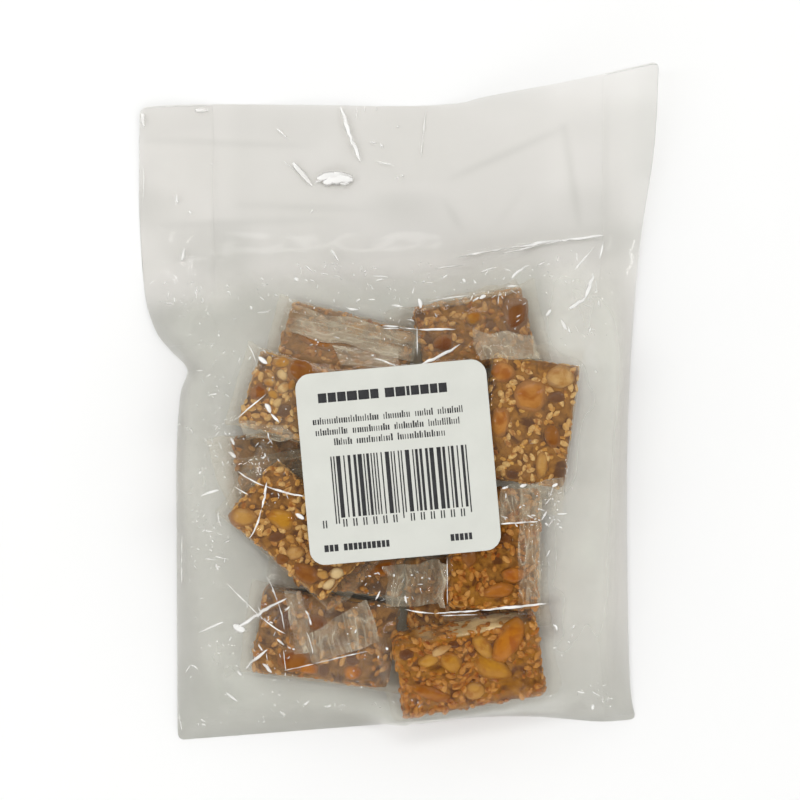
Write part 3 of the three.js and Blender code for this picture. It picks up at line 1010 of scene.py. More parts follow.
def tail_rings(start, drop, share, swing=0, twist=0):
    """Rings beyond an end of a slab, for a tail that droops: place, turn and how flat each is."""
    stations = np.arange(WRAP["step"], WRAP["fold"] + WRAP["crimp"] * share, WRAP["step"])
    rings, at, last = [], np.array([start, 0.0, 0.0]), 0.0
    for station, part in zip(stations, ramp(stations, 0, WRAP["fold"] + 1.5)):
        turn = three_turns(swing * part, drop * part, twist * part)
        at = at + turn[:, 0] * (station - last)
        last = station
        rings.append((at, turn, station / WRAP["fold"]))
    return rings


def wrapper_rings(number, slab):
    """All rings of a wrapper from its near to its far end."""
    reach = slab["length"] / 2 + WRAP["gap"]
    body = np.arange(-reach, reach + 0.01, WRAP["step"])
    mirror = np.diag([-1.0, 1.0, 1.0])
    near, far = (tail_rings(reach, *tail) for tail in TAILS[number])
    near = [(mirror @ at, mirror @ turn @ mirror, flat) for at, turn, flat in near[::-1]]
    return near + [(np.array([x, 0.0, 0.0]), np.eye(3), 0.0) for x in body] + far


def tube_faces(count, around):
    """Faces of a tube of so many rings, with its flat ends closed from side to side."""
    index = np.arange(count * around).reshape(count, around)
    right = np.roll(index, -1, axis=1)
    faces = joined(index[:-1], right[:-1], right[1:], index[1:]).reshape(-1, 4).tolist()
    half = around // 2
    for ring, turn in ((index[0], -1), (index[-1], 1)):
        caps = [[ring[k], ring[k + 1], ring[-k - 1], ring[-k]] for k in range(1, half - 1)]
        caps = [[ring[0], ring[1], ring[-1]], *caps, [ring[half - 1], ring[half], ring[half + 1]]]
        faces += [corners[::turn] for corners in caps]
    return faces


print("a wrapper has up to", max(len(wrapper_rings(*pair)) for pair in enumerate(SLABS)), "rings")

# %% The wrapper's tube
def wrapper_tube(number, slab):
    """The film tube of a slab: points, faces and the veil at each point."""
    centres, turns, flat = (np.array(part) for part in zip(*wrapper_rings(number, slab)))
    flat = np.clip(flat, 0, 1)
    pressed = ramp(flat, 0, 1)[:, None]
    half_box = np.array([slab["width"], SLAB_THICKNESS]) / 2 + WRAP["gap"] - 0.3
    half_height = half_box[1] + (WRAP["crimp_half"] - half_box[1]) * pressed
    half_width = (half_box.sum() * 0.985 - half_height) * (1 - (1 - WRAP["gather"]) * pressed)
    parts = (np.arange(WRAP["around"]) / WRAP["around"])[None]
    corner = np.minimum(WRAP["corner"], half_height * 0.98)
    ring_points, outward = girth_points(half_width, half_height, corner, parts)
    length_way = np.cumsum(np.full(len(flat), WRAP["step"]))[:, None]
    girth = parts * 4 * half_box.sum()
    sheet = np.stack(np.broadcast_arrays(length_way, girth), axis=-1)
    creases = crumple(sheet * (1, 1.6), 5.5, 40 + number)
    creases = creases + 0.5 * crumple(sheet * (1, 2.2), 2.8, 60 + number)
    ends = np.arange(len(flat))
    to_end = np.minimum(ends, ends[::-1])[:, None] * WRAP["step"]
    pleats = np.abs(noise(sheet * (0.25, 1.0) + 300, 2.2, 80 + number)) * ramp(-to_end, -12, -5)
    swell = LOOSE[number] * (creases + 1.2 * pleats) * (1 - pressed)
    ring_points = ring_points + outward * swell[..., None]
    spread = joined(length_way + 0 * girth, ring_points[..., 0])
    ripple = 0.9 * (crumple(spread / (1.5, 1), 4, 90 + number) - 0.4) * pressed
    ripple = ripple + 0.6 * noise(spread, 5, 7) * pressed
    local = joined(0 * ripple, ring_points[..., 0], ring_points[..., 1] + ripple)
    points = np.einsum("rij,rkj->rki", turns, local) + centres[:, None]
    lines = streaks(spread, 1.4, 120 + number)
    on_side = ramp(np.abs(outward[..., 0]), 0.5, 1.0) * (1 - pressed)
    veil = HAZE[number] / 2 * (1 - 0.6 * pressed) + 0.1 * pressed * lines
    veil = veil + 0.03 * ramp(flat[:, None], 0, 0.4) * creases
    # A paler veil on the tube's upright sides: film seen edge-on is hazier, and this veil also paints light
    # over the slab's shaded sides, less on the sugary slab.
    veil = veil + on_side * (0.03 if number == SUGARY_SLAB else 0.08)
    return points.reshape(-1, 3), tube_faces(*points.shape[:2]), np.clip(veil, 0, 0.6).ravel()


first_tube = wrapper_tube(0, SLABS[0])
print("the first tube has", len(first_tube[1]), "faces")

# %% Fins and loose flaps
FILM_THICKNESS = 0.05


def wrapper_fin(number, slab):
    """The fin seal: a wavy flat strip on one face of the tube."""
    side, across, width, middle_veil = FINS.get(number, PLAIN_FIN)
    along = np.linspace(-slab["length"] / 2 - 0.6, slab["length"] / 2 + 0.6, 110)
    x, y = np.meshgrid(along, np.linspace(-width / 2, width / 2, 34))
    edge = 0.7 * noise(joined(x, 0 * y + number), 7.0, 21)
    lines = streaks(joined(x, y + 0.8 * noise(joined(x, y), 9, 20)), 1.0, 22 + number, 7.0)
    wave = 0.2 * crumple(joined(x / 2.2, y), 2.4, 23 + number) + 0.16 * lines
    base = SLAB_THICKNESS / 2 + WRAP["gap"] + 0.35
    points, faces = closed_shell(*(
        joined(x, y + across + edge, side * (base + wave + lift))
        for lift in (FILM_THICKNESS, 0.0)[::side]
    ))
    if side < 0:
        points[:, 2] += 0.3
    veil = middle_veil * (1 + 0.7 * noise(joined(x / 3, y), 2.0, 24)) + 0.32 * lines
    veil = veil * (1 - 0.7 * ramp(np.abs(x), slab["length"] / 2 - 5, slab["length"] / 2 - 1))
    return points, faces, shell_numbers(veil)


def film_flap(seed, middle_veil, corners):
    """A loose stretch of film between four corners, with streaks along it."""
    first, second, third, fourth = (np.array(corner) for corner in corners)
    length, width = np.linalg.norm(fourth - first), np.linalg.norm(second - first)
    s = np.linspace(0, 1, int(length / 0.3) + 2)[:, None, None]
    t = np.linspace(0, 1, int(width / 0.2) + 2)[None, :, None]
    flat = (1 - s) * ((1 - t) * first + t * second) + s * ((1 - t) * fourth + t * third)
    own = np.concatenate(np.broadcast_arrays(s * length, t * width), axis=-1)
    (ax, ay), (bx, by) = (second - first)[:2], (fourth - first)[:2]
    if ax * by - ay * bx < 0:
        flat, own = flat[:, ::-1], own[:, ::-1]
    lines = streaks(own + 0.5 * noise(own, 6, seed)[..., None], 1.2, seed + 1)
    patches = 0.5 + 0.5 * noise(own / (1.6, 1), 2.6, seed + 2)
    flat = flat + joined(0.7 * noise(own, 4.5, seed + 3), 0.7 * noise(own, 4.5, seed + 4), 0 * lines)
    rest_on = pile_top(flat[..., :2]) - CLEARANCE + 0.4
    level = np.maximum(flat[..., 2], rest_on) + 0.25 * crumple(own / (2, 1), 2.6, seed + 5) + 0.14 * lines
    points, faces = closed_shell(*(
        np.concatenate([flat[..., :2], (level + lift)[..., None]], axis=-1) for lift in (FILM_THICKNESS, 0.0)
    ))
    return points, faces, shell_numbers(middle_veil * (0.5 + patches) + 0.5 * lines * patches)


def make_wrapper(number, slab):
    """A wrapper with its fin and its loose flaps as one piece."""
    own = [wrapper_tube(number, slab), wrapper_fin(number, slab)]
    forms = [(place(points, slab), faces, veil) for points, faces, veil in own]
    for index, (owner, middle_veil, *corners) in enumerate(FLAPS):
        if owner == number:
            forms.append(film_flap(200 + 10 * index, middle_veil, corners))
    placed, faces = join_forms([form[:2] for form in forms])
    placed[:, 2] = np.maximum(placed[:, 2], 0.25 + 0.1 * noise(placed[:, :2], 3.0, 5))
    veil = np.concatenate([form[2] for form in forms])
    finish = {"veil": np.clip(veil, 0, 0.8), "milk": 1.0, "crumple": 0.15 + LOOSE[number]}
    make_piece(f"wrapper_{number + 1:02d}", placed, faces, wrapper_plastic, "film", finish)
    return placed


wrapper_points = [make_wrapper(number, slab) for number, slab in enumerate(SLABS)]
print("made", len(wrapper_points), "wrappers, the first of", len(wrapper_points[0]), "points")

# %% [markdown]
# ## The bag film
#
# The bag is two sheets, front and back, welded along the rim. Both are laid out on one grid that
# fills the outline of the flat bag: a Coons patch blends the four edges into rows and columns.
#
# The front sheet is then worked out in three steps. First it settles like a stretched skin: each
# free point goes to the mean of its neighbours unless something below holds it up. Then it is
# crumpled, mostly where the bag was squeezed. Last come the long creases, each listed one by one.

# %% The outline and the grid
EDGES = {
    "bottom": [(-60.9, -93.2), (-28.5, -90.7), (-6.6, -89), (20, -87), (37.2, -86.8), (54.7, -88.1),
               (64.7, -87.4)],
    "top": [(-71.2, 80.2), (-49.3, 81), (-5, 80.5), (15.3, 81.1), (24.4, 82.9), (54.3, 87.5),
            (68.6, 89.8)],
    "left": [(-60.9, -93.2), (-61.1, -46.2), (-61.2, -16), (-60.2, 1), (-58.3, 8.3), (-63, 13.8),
             (-67, 19.2), (-70, 30), (-71.4, 52), (-71.2, 80.2)],
    "right": [(64.7, -87.4), (62.8, -74), (62.1, -24), (63, 8.2), (65.3, 41), (68.3, 67.5),
              (68.6, 89.8)],
}
CELLS = (196, 252)  # across and along; both can be halved twice
# The radius of each corner, by the ends of the upright and of the level edge that meet there.
CORNER_RADII = {(0, 0): 1.8, (0, -1): 1.4, (-1, 0): 2.4, (-1, -1): 1.6}
NEXT_TO = {0: 1, -1: -2}


def edge_curve(points, parts):
    """Points at even parts of the length of a smooth curve through a few points."""
    points = np.array(points, float)
    padded = np.concatenate([points[:1], points, points[-1:]])
    t = np.linspace(0, 1, 60, endpoint=False)[:, None]
    stretches = []
    for p0, p1, p2, p3 in zip(padded, padded[1:], padded[2:], padded[3:]):
        v0, v1 = (p2 - p0) / 2, (p3 - p1) / 2
        stretches.append(
            (2 * p1 - 2 * p2 + v0 + v1) * t**3 + (3 * p2 - 3 * p1 - 2 * v0 - v1) * t**2 + v0 * t + p1
        )
    curve = np.concatenate([*stretches, points[-1:]])
    length = np.concatenate([[0], np.cumsum(np.linalg.norm(np.diff(curve, axis=0), axis=1))])
    return np.stack([np.interp(parts * length[-1], length, curve[:, k]) for k in (0, 1)], axis=-1)


def round_corner(level_curve, up_curve, level_at, up_at, radius):
    """Draws the ends of two edges that meet in a corner onto one arc."""
    corner = level_curve[level_at].copy()
    steps = np.array([level_curve[NEXT_TO[level_at]], up_curve[NEXT_TO[up_at]]]) - corner
    ways = steps / np.linalg.norm(steps, axis=1, keepdims=True)
    middle = corner + radius * ways.sum(axis=0)
    for curve in (level_curve, up_curve):
        away = curve - middle
        distance = np.linalg.norm(away, axis=-1, keepdims=True)
        near = np.all((curve - corner) @ ways.T < radius, axis=-1, keepdims=True) & (distance > radius)
        curve[:] = np.where(near, middle + away * radius / np.maximum(distance, 1e-6), curve)


def flat_grid(u, v):
    """The flat bag's points at u across and v along, blended between its four edges."""
    bottom, top = (edge_curve(EDGES[name], u)[None] for name in ("bottom", "top"))
    left, right = (edge_curve(EDGES[name], v)[:, None] for name in ("left", "right"))
    for up_at, level_at in CORNER_RADII:
        level_edge, up_edge = (bottom, top)[up_at], (left, right)[level_at]
        round_corner(level_edge[0], up_edge[:, 0], level_at, up_at, CORNER_RADII[up_at, level_at])
    u, v = u[None, :, None], v[:, None, None]
    corners = ((1 - u) * (1 - v) * bottom[:, :1] + u * (1 - v) * bottom[:, -1:]
               + (1 - u) * v * top[:, :1] + u * v * top[:, -1:])
    return (1 - v) * bottom + v * top + (1 - u) * left + u * right - corners


across, along = (np.linspace(0, 1, count + 1) for count in CELLS)
FLAT = flat_grid(across, along)
print("the flat bag is", np.ptp(FLAT[..., 0]).round(1), "by", np.ptp(FLAT[..., 1]).round(1), "mm")

# %% What is under the film
FILM = {
    "seal_at": 0.75, "seal_fade": 0.07, "side_rise": 5.0, "side_run": 12.0, "foot_rise": 5.0,
    "foot_run": 9.0, "edge_lift": 0.6, "edge_run": 8.0, "wave": 0.9, "wave_length": 46.0, "header_gap": 0.35,
}
CURL = {"height": 15.0, "start": 0.5, "power": 1.6, "across_x": 71.0, "from_y": 15.0, "across_y": 75.0}
LABEL_LEVEL = bag_high[2] - 0.1

left_way, right_way, to_foot, to_head = (
    np.linalg.norm(FLAT - edge, axis=-1) for edge in (FLAT[:, :1], FLAT[:, -1:], FLAT[:1], FLAT[-1:])
)
to_side = np.minimum(left_way, right_way)
up_the_bag = along[:, None] + 0 * to_side
FILLED = ramp(-up_the_bag, -FILM["seal_at"], -FILM["seal_at"] + FILM["seal_fade"])


def shoulder(distance, run, height):
    """A gentle shoulder: 0 at distance 0, and the full height from run onwards."""
    return height * (1 - (1 - np.clip(distance / run, 0, 1)) ** 2)


def curl_height(points):
    reach = (points[..., 0] / CURL["across_x"] + (points[..., 1] - CURL["from_y"]) / CURL["across_y"]) / 2
    return CURL["height"] * np.clip((reach - CURL["start"]) / (1 - CURL["start"]), 0, 1) ** CURL["power"]


def wrappers_top(points, wide=220):
    """The height of the wrappers' film: the highest of their points near by."""
    low = points.reshape(-1, 2).min(axis=0)
    cells = np.zeros((wide, wide))
    for cloud in wrapper_points:
        at = (cloud[:, :2] - low).round().astype(int)
        inside = np.all((at >= 0) & (at < wide), axis=1)
        np.maximum.at(cells, (at[inside, 0], at[inside, 1]), cloud[inside, 2])
    at = np.clip((points - low).round().astype(int), 0, wide - 1)
    top = np.zeros(points.shape[:-1])
    for step in itertools.product((-1, 0, 1), repeat=2):
        beside = np.clip(at + step, 0, wide - 1)
        top = np.maximum(top, cells[beside[..., 0], beside[..., 1]])
    return top


def under_label(points, grow=0.0):
    """How far a place is within the square that the label keeps flat."""
    length_way, width_way = own_frame(points, LABEL)
    return LABEL["side"] / 2 + grow - np.maximum(np.abs(length_way), np.abs(width_way))


print("the pile under the film is up to", pile_top(FLAT).max().round(2), "mm high")

# %% Settle the front sheet
INNER = np.s_[1:-1, 1:-1]


def neighbour_mean(level):
    """The mean of the four neighbours of each inner point of a grid."""
    return (level[:-2, 1:-1] + level[2:, 1:-1] + level[1:-1, :-2] + level[1:-1, 2:]) / 4


def settle(level, support, held, passes):
    """Each free point goes to the mean of its neighbours, unless its support is higher."""
    for _ in range(passes):
        free = np.maximum(support[INNER], neighbour_mean(level))
        level[INNER] = np.where(held[INNER], level[INNER], free)
    return level


def enlarge(level, rows, columns):
    """A coarse grid of levels as a finer one, by straight lines between its points."""
    old_rows, old_columns = (np.linspace(0, 1, count) for count in level.shape)
    wide = np.stack([np.interp(np.linspace(0, 1, columns), old_columns, row) for row in level])
    return np.stack([np.interp(np.linspace(0, 1, rows), old_rows, column) for column in wide.T], axis=1)


rim_lift = FILM["edge_lift"] * FILLED * ramp(to_foot, 0, FILM["edge_run"])
wave = FILM["wave"] * (1 + np.sin(2 * np.pi * (FLAT[..., 0] + 0.4 * FLAT[..., 1]) / FILM["wave_length"])) / 2
UNDERSIDE = (rim_lift * (1 - ramp(np.minimum(to_side, to_foot), 0, FILM["edge_run"]))
             + (1 - FILLED) * wave + curl_height(FLAT))

rise = np.minimum(shoulder(to_side, FILM["side_run"], FILM["side_rise"]),
                  shoulder(to_foot, FILM["foot_run"], FILM["foot_rise"]))
in_header = up_the_bag >= FILM["seal_at"]
to_rim = np.minimum.reduce([to_side, to_foot, to_head])
flat_level = UNDERSIDE + FILM["header_gap"] * ramp(to_rim, -1, 9)
support = np.maximum(flat_level + rise * FILLED, pile_top(FLAT))
support = np.maximum(support, np.minimum(wrappers_top(FLAT) + 0.15, LABEL_LEVEL))
support = np.where(under_label(FLAT, 0.6) > 0, np.maximum(support, LABEL_LEVEL), support)
support = np.where(in_header, flat_level, support)
held = in_header.copy()
held[[0, -1]] = held[:, [0, -1]] = True

front = support[::4, ::4].copy()
for stride, passes in ((4, 500), (2, 160), (1, 50)):
    part = support[::stride, ::stride]
    front = np.maximum(enlarge(front, *part.shape), part)
    front = settle(front, part, held[::stride, ::stride], passes)
print("the settled film is up to", front.max().round(2), "mm high")

# %% [markdown]
# ### Crumples and creases
#
# Where the bag was squeezed it is crumpled in sharp facets, and elsewhere it is smooth. Soft boxes
# say how strongly each stretch is crumpled. A crease is a small ridge along a line: its crest is
# what catches the light. Dimples are shallow dents that give the film its rounder glints.

# %% Where the film is crumpled
# Each soft box: left, right, bottom, top, strength.
CRUMPLED = [
    (-50, 50, 23, 37, 0.7), (-58, -42, -84, 6, 0.6), (-66, -44, 12, 28, 0.6), (-62, 14, 34, 45, 0.4),
    (-44, 46, -80, 24, 0.22), (-60, 62, -92, -82, 0.12), (48, 62, -86, 36, 0.2),
    (-72, 70, 40, 90, 0.05),
]


def crumple_strength(points):
    """How strongly the film is crumpled at each point, from 0 to 1."""
    x, y = points[..., 0], points[..., 1]
    strength = 0 * x
    for left, right, bottom, top, amount in CRUMPLED:
        inside = ramp(x, left - 3, left + 3) * ramp(-x, -right - 3, -right + 3)
        inside = inside * ramp(y, bottom - 3, bottom + 3) * ramp(-y, -top - 3, -top + 3)
        strength = np.maximum(strength, inside * amount)
    return strength * ramp(-under_label(points), 0.3, 3.5)


def film_crumples(points, seed):
    """Big soft facets with smaller sharp ones on them, stretched a little along the bag."""
    bent = points + 1.6 * joined(noise(points, 9, seed), noise(points, 9, seed + 1))
    big = crumple(bent * (1.15, 1.0), 11, seed + 2, slope=0.35)
    middle = crumple(bent * (1.0, 1.2), 5.2, seed + 3, slope=0.35)
    small = crumple(bent, 2.6, seed + 4, slope=0.3)
    return 1.5 * big + 0.62 * middle + 0.2 * small


strength = crumple_strength(FLAT)
print("the film is crumpled over", (100 * (strength > 0.2).mean()).round(), "percent of the bag")

# %% Creases and dimples
# Each crease: from x, y to x, y, its width and, where it isn't straight, its bow to the left.
# Each also gets a spindle with a painted white glint, and the widest, from 1.4 mm up, are painted
# glints with no ridge.
CREASES_AND_GLINTS = [(*crease, 0)[:6] for crease in (
    (15.1, 38.9, 30.2, 41.6, 0.5), (30, 41.5, 44.4, 43.7, 0.8), (43.9, 43.6, 56.2, 44.9, 0.6),
    (-16.2, 80.3, -13.2, 70.6, 1.1), (-14.1, 72.9, -10.7, 65, 1), (-11.7, 80.2, -12, 76.9, 0.26),
    (-9.5, 80.5, -9.8, 78.8, 0.26), (-6.3, 80.2, -6.5, 79.1, 0.26), (-33.8, 74.2, -30.5, 71.5, 0.63),
    (-31.9, 65.5, -28.4, 62.2, 0.26), (-29.4, 65.1, -23.8, 58.4, 1.5), (-22.9, 60.8, -16, 61.6, 2),
    (-21.2, 59.9, -12.8, 60.7, 2.6), (-18.4, 62.1, -12.9, 61.5, 1.5), (-16.5, 59, -13.8, 59.4, 0.9),
    (-23.3, 59.5, -21, 60.1, 0.7), (-6.5, 65.2, -1.6, 64.1, 0.34), (-8.2, 70.6, -6.5, 70.1, 0.53),
    (-5.5, 70.1, -4.6, 69, 0.53), (-1.1, 60.8, -0.3, 60.6, 0.79), (0.3, 61.6, 1.1, 61.1, 0.4),
    (-18.8, 41.2, -16.6, 37.7, 0.69), (-70.4, 78.6, -69.8, 74.5, 1.32), (-56.2, 79.4, -52.4, 79.4, 1.32),
    (-61.2, 56.2, -60.7, 53.7, 0.66), (-57.6, 51.8, -57, 50.7, 0.53), (-59.5, 37.9, -58.9, 41.5, 1.06),
    (-70.2, 64.1, -70.1, 53.7, 0.21), (-51.6, 64.6, -51.3, 64.1, 0.53), (7.1, 80.2, 5.7, 66, 0.29),
    (-0.8, 75, -0.5, 74.5, 0.53), (-24.5, 51, -23.7, 52.4, 0.34), (-22.9, 51.8, -22.1, 51.3, 0.26),
    (35.7, 41.7, 55.5, 44.6, 0.34, 0.5), (27.8, 39.8, 36.3, 41.7, 0.53), (9.4, 35.5, 17.6, 36.6, 0.34),
    (21.6, 34.2, 26.2, 35.8, 0.63), (29.7, 32.3, 34.7, 36.3, 0.74, 0.3), (27.8, 35, 29.9, 33.9, 0.26, 0.3),
    (11, 32.1, 12.8, 33.7, 0.37), (46.8, 34.7, 52.9, 41.7, 0.45), (55.5, 43.3, 54, 38, 0.4),
    (52.4, 34.2, 49.6, 27.3, 1.06), (49.9, 27.6, 44.9, 24.1, 1.06), (38.6, 22, 40.1, 24.1, 0.58),
    (46.4, 40.6, 46.6, 40.4, 0.53), (16.8, 32.6, 17.4, 31.3, 0.79), (19.5, 32.3, 20.3, 31, 0.53),
    (-7.5, 33.5, -3.2, 33.1, 0.42), (-6.7, 32.1, -4.3, 32.6, 0.37), (-21.4, 34.2, -19.5, 33.9, 0.4),
    (-18.2, 33.4, -16.3, 33.4, 0.32), (-28.6, 32.9, -27.3, 32.1, 0.79), (-25.7, 32.6, -24.9, 31.8, 0.53),
    (-37.7, 33.1, -36.9, 32.3, 0.53), (-17.7, 27, -17.6, 26, 0.53), (-11.8, 25.7, -10.5, 27, 0.45, 0.3),
    (-8.7, 26.8, -6.6, 26.8, 0.32), (-14.7, 24.7, -11, 24.1, 0.48, -0.3), (-2.6, 25.2, 0, 25.2, 0.32),
    (-29.7, 27, -28.9, 26.2, 0.79), (-40.1, 25.2, -39.4, 24.1, 0.58), (-2.9, 29.7, -2.4, 29.7, 0.53),
    (-37, 11.3, -34.6, 9.4, 1.06), (-35.9, 13.4, -34.9, 12.1, 0.32), (-39.9, 14.7, -37.3, 8.7, 0.24, 0.3),
    (-43.7, -5.8, -34.9, 1.6, 0.34), (-51.1, 1.1, -48.3, 1.8, 0.4), (-34.9, -0.8, -33.6, -3.4, 1.32),
    (-33.6, -3.4, -31.5, -6, 0.53), (-44.3, -9.7, -43.3, -11.8, 0.79), (-45.1, -13.4, -43, -15.2, 1.32),
    (-7.3, 10.8, -1.6, 8.9, 0.32, 0.4), (-4.7, 19.5, -0.3, 19.5, 0.5), (-4.7, 18.9, -0.3, 18.9, 0.29),
    (4.7, 18.6, 14.7, 18.6, 0.53), (-0.3, 19.2, 5, 18.6, 0.24), (4.5, 19.4, 4.5, 11.5, 0.24),
    (5, 9.2, 16, 14.7, 0.79, -0.3), (-5.2, 10.5, -0.8, 8.9, 0.34), (4.7, 27, 5.8, 24.4, 1.06),
    (-1.8, 24.9, 0.8, 24.9, 0.4), (9.2, 23.1, 9.7, 22, 0.42), (42.5, 21.3, 44.1, 18.4, 1.06),
    (44.3, 19.7, 44.9, 17.6, 0.42), (51.2, 7.9, 52, 7.1, 0.4), (19.2, 26.2, 21, 27.3, 0.53),
    (21, 26.8, 22.8, 27.8, 0.9), (28.3, 30.2, 31.5, 30.5, 0.42), (7.3, 26, 19.2, 27.8, 0.24, 0.3),
    (-53.3, -25.6, -47.5, -23.6, 0.69), (-47.5, -28.9, -46.7, -33.1, 0.29, -0.3),
    (-42.6, -18.6, -35.2, -22.4, 0.37, -0.3), (-35.2, -22.4, -24.9, -25.1, 0.5, -0.3),
    (-43.2, -22.6, -39.6, -24.8, 0.29), (-34.9, -21.3, -36.2, -28.3, 0.5, 0.3),
    (-36.2, -28.3, -39.4, -36.2, 0.45, 0.5), (-27.3, -29.7, -24.9, -31, 1.06),
    (-59.3, -36.6, -59.5, -51.4, 0.24), (-49.3, -41.5, -44.9, -42.2, 0.24),
    (-49.1, -43.3, -48.5, -45.4, 0.69), (-46.4, -48.5, -36.7, -57.7, 0.37),
    (-36.7, -57.7, -30.3, -61.9, 0.32, -0.3), (-35.2, -46.2, -32.3, -53, 0.32, 0.3),
    (-32.3, -53, -30.6, -60.9, 0.32, 0.3), (-44, -60.9, -29.8, -51.8, 1.16),
    (-44.6, -60.1, -41.2, -61.4, 2.12), (-54.4, -63, -47.2, -59.3, 0.74),
    (-51.9, -65.9, -50.9, -66.5, 0.42), (-41.5, -71.9, -35.2, -66.4, 0.85, 0.3),
    (-43.7, -72.4, -42.4, -73.7, 0.69), (-47, -78.7, -43.7, -81.3, 0.85), (-58.4, -74.3, -57, -72.1, 0.26),
    (-57, -72.1, -54.6, -73.2, 0.29, 0.3), (-33.9, -81.9, -33.6, -82.7, 0.42),
    (-26, -82.4, -24.4, -80.8, 0.53), (-20.5, -82.9, -18.6, -82.1, 0.79),
    (-60.3, -85.8, -59.7, -90.4, 0.42), (-31, -66.4, -30.4, -72.2, 0.24),
    (-36.7, -70.3, -34.1, -72.7, 1.06), (-24.9, -55.1, -23.4, -59.3, 0.58, 0.3),
    (-32.8, -63.5, -30.7, -65.1, 0.58), (-24.7, -61.1, -23.1, -67.4, 0.26, 0.3),
    (-31, -72.2, -22.8, -70.1, 0.26), (-22.8, -70.1, -8.4, -65.9, 0.32),
    (1.3, -54.5, 9.1, -55.6, 0.34, -0.3), (9.1, -55.6, 21, -54.8, 0.42), (21, -54.8, 38.3, -53, 0.66),
    (10.5, -56.2, 20.5, -55.9, 0.24), (26.1, -32.4, 36.1, -31.6, 0.45), (40.9, -29.7, 43.7, -29.7, 0.34),
    (37.8, -32, 38.7, -32.8, 0.53), (40, -58.8, 41.3, -60.9, 0.42, 0.4), (39.9, -78.5, 40.1, -78.7, 0.69),
    (52.2, -82.4, 52.3, -84.2, 0.85), (47.6, -78.5, 49.9, -79, 0.37), (51.7, -78.5, 54.1, -80.3, 0.48),
    (-1.8, -45.7, -1.3, -45.7, 0.79), (3.1, -45.4, 3.1, -45.9, 0.58), (1.3, -50.9, 1.8, -53, 0.42),
    (-3.7, -64.6, -3.1, -65.3, 0.53), (12.3, -40.9, 12.3, -53.3, 0.21), (26.5, -23.1, 28.3, -22.6, 0.53),
    (31.2, -22.6, 33.1, -22, 0.79), (39.6, -22.6, 41.2, -21.8, 0.66), (27.6, -24.1, 27.6, -25.7, 0.32),
)]
# Each dimple: middle x, y, half length, half width, turn, height.
DIMPLES = [
    (-18, 39.6, 1.4, 1.6, 0, 0.4), (4.2, 26.2, 2.6, 1.1, 70, 0.5), (12.5, 26, 2, 1, 40, 0.5),
    (-18.3, 27, 1, 2.2, 0, 0.45), (-67.5, 33.5, 3, 1.2, 45, 0.4),
    (40.8, 23.8, 1, 2.2, -10, 0.4), (44.5, 21.3, 2.2, 1.2, 45, 0.5), (9.3, 23, 0.8, 1.4, 60, 0.4),
    (-48.9, -31.5, 1.2, 3, 0, 0.4), (-45.5, -60.8, 1.8, 1.6, 30, 0.6), (-26.5, -31.4, 1.6, 1.2, -20, 0.4),
]



def crease_height(points, crease):
    """A ridge with a round crest along a slightly bowed line, tapered towards its ends."""
    x0, y0, x1, y1, thickness, bow = crease
    height, width = (0.04 + 0.1 * thickness) * (thickness < 1.4), 0.6 + 0.3 * thickness
    run = np.array([x1 - x0, y1 - y0])
    length = np.hypot(*run)
    run = run / length
    away = points - (x0, y0)
    along_it = away @ run
    part = np.clip(along_it / length, 0, 1)
    beside = away @ np.array([-run[1], run[0]]) - bow * 4 * part * (1 - part)
    beyond = np.maximum(np.maximum(-along_it, along_it - length), 0)
    distance = np.hypot(np.sqrt(beside**2 + (0.35 * width) ** 2) - 0.35 * width, beyond)
    return height * np.exp(-distance / (0.62 * width)) * (0.35 + 0.65 * np.sqrt(4 * part * (1 - part) + 1e-6))


def dimple_height(points, dimple):
    x, y, half_length, half_width, turn, height = dimple
    length_way, width_way = own_frame(points, {"x": x, "y": y, "yaw": turn})
    return height * np.exp(-((length_way / half_length) ** 2) - (width_way / half_width) ** 2)


ridges = sum(crease_height(FLAT, crease) for crease in CREASES_AND_GLINTS)
ridges = ridges + sum(dimple_height(FLAT, dimple) for dimple in DIMPLES)
ridges = ridges * ramp(-under_label(FLAT), 0, 1.2)
print(len(CREASES_AND_GLINTS), "creases and", len(DIMPLES), "dimples, up to", ridges.max().round(2), "mm")

# %% [markdown]
# ### The heat seal, and both sheets together
#
# Under the header a heat seal holds the sheets together, so the gap between them nearly closes
# there, most sharply at its right part. Then front and back are welded along the rim into one
# closed shell, which stands for the solid bag of the frame.

# %% The two sheets
SEAL_LINE = {"at": 0.757, "half_width": 0.015}


def smoothed(level, passes, keep):
    """A copy with the edge taken off, except where keep is 1."""
    level = level.copy()
    for _ in range(passes):
        inner = level[INNER]
        level[INNER] = inner + (neighbour_mean(level) - inner) * 0.5 * (1 - keep[INNER])
    return level


def with_hem(sheet, share=0.12):
    """Draws the first cells inside the rim in to a narrow hem, so that the rim shades crisply."""
    for edge, hem, inside in ((0, 1, 2), (-1, -2, -3)):
        sheet[hem] = sheet[edge] + (sheet[inside] - sheet[edge]) * share
        sheet[:, hem] = sheet[:, edge] + (sheet[:, inside] - sheet[:, edge]) * share
    return sheet


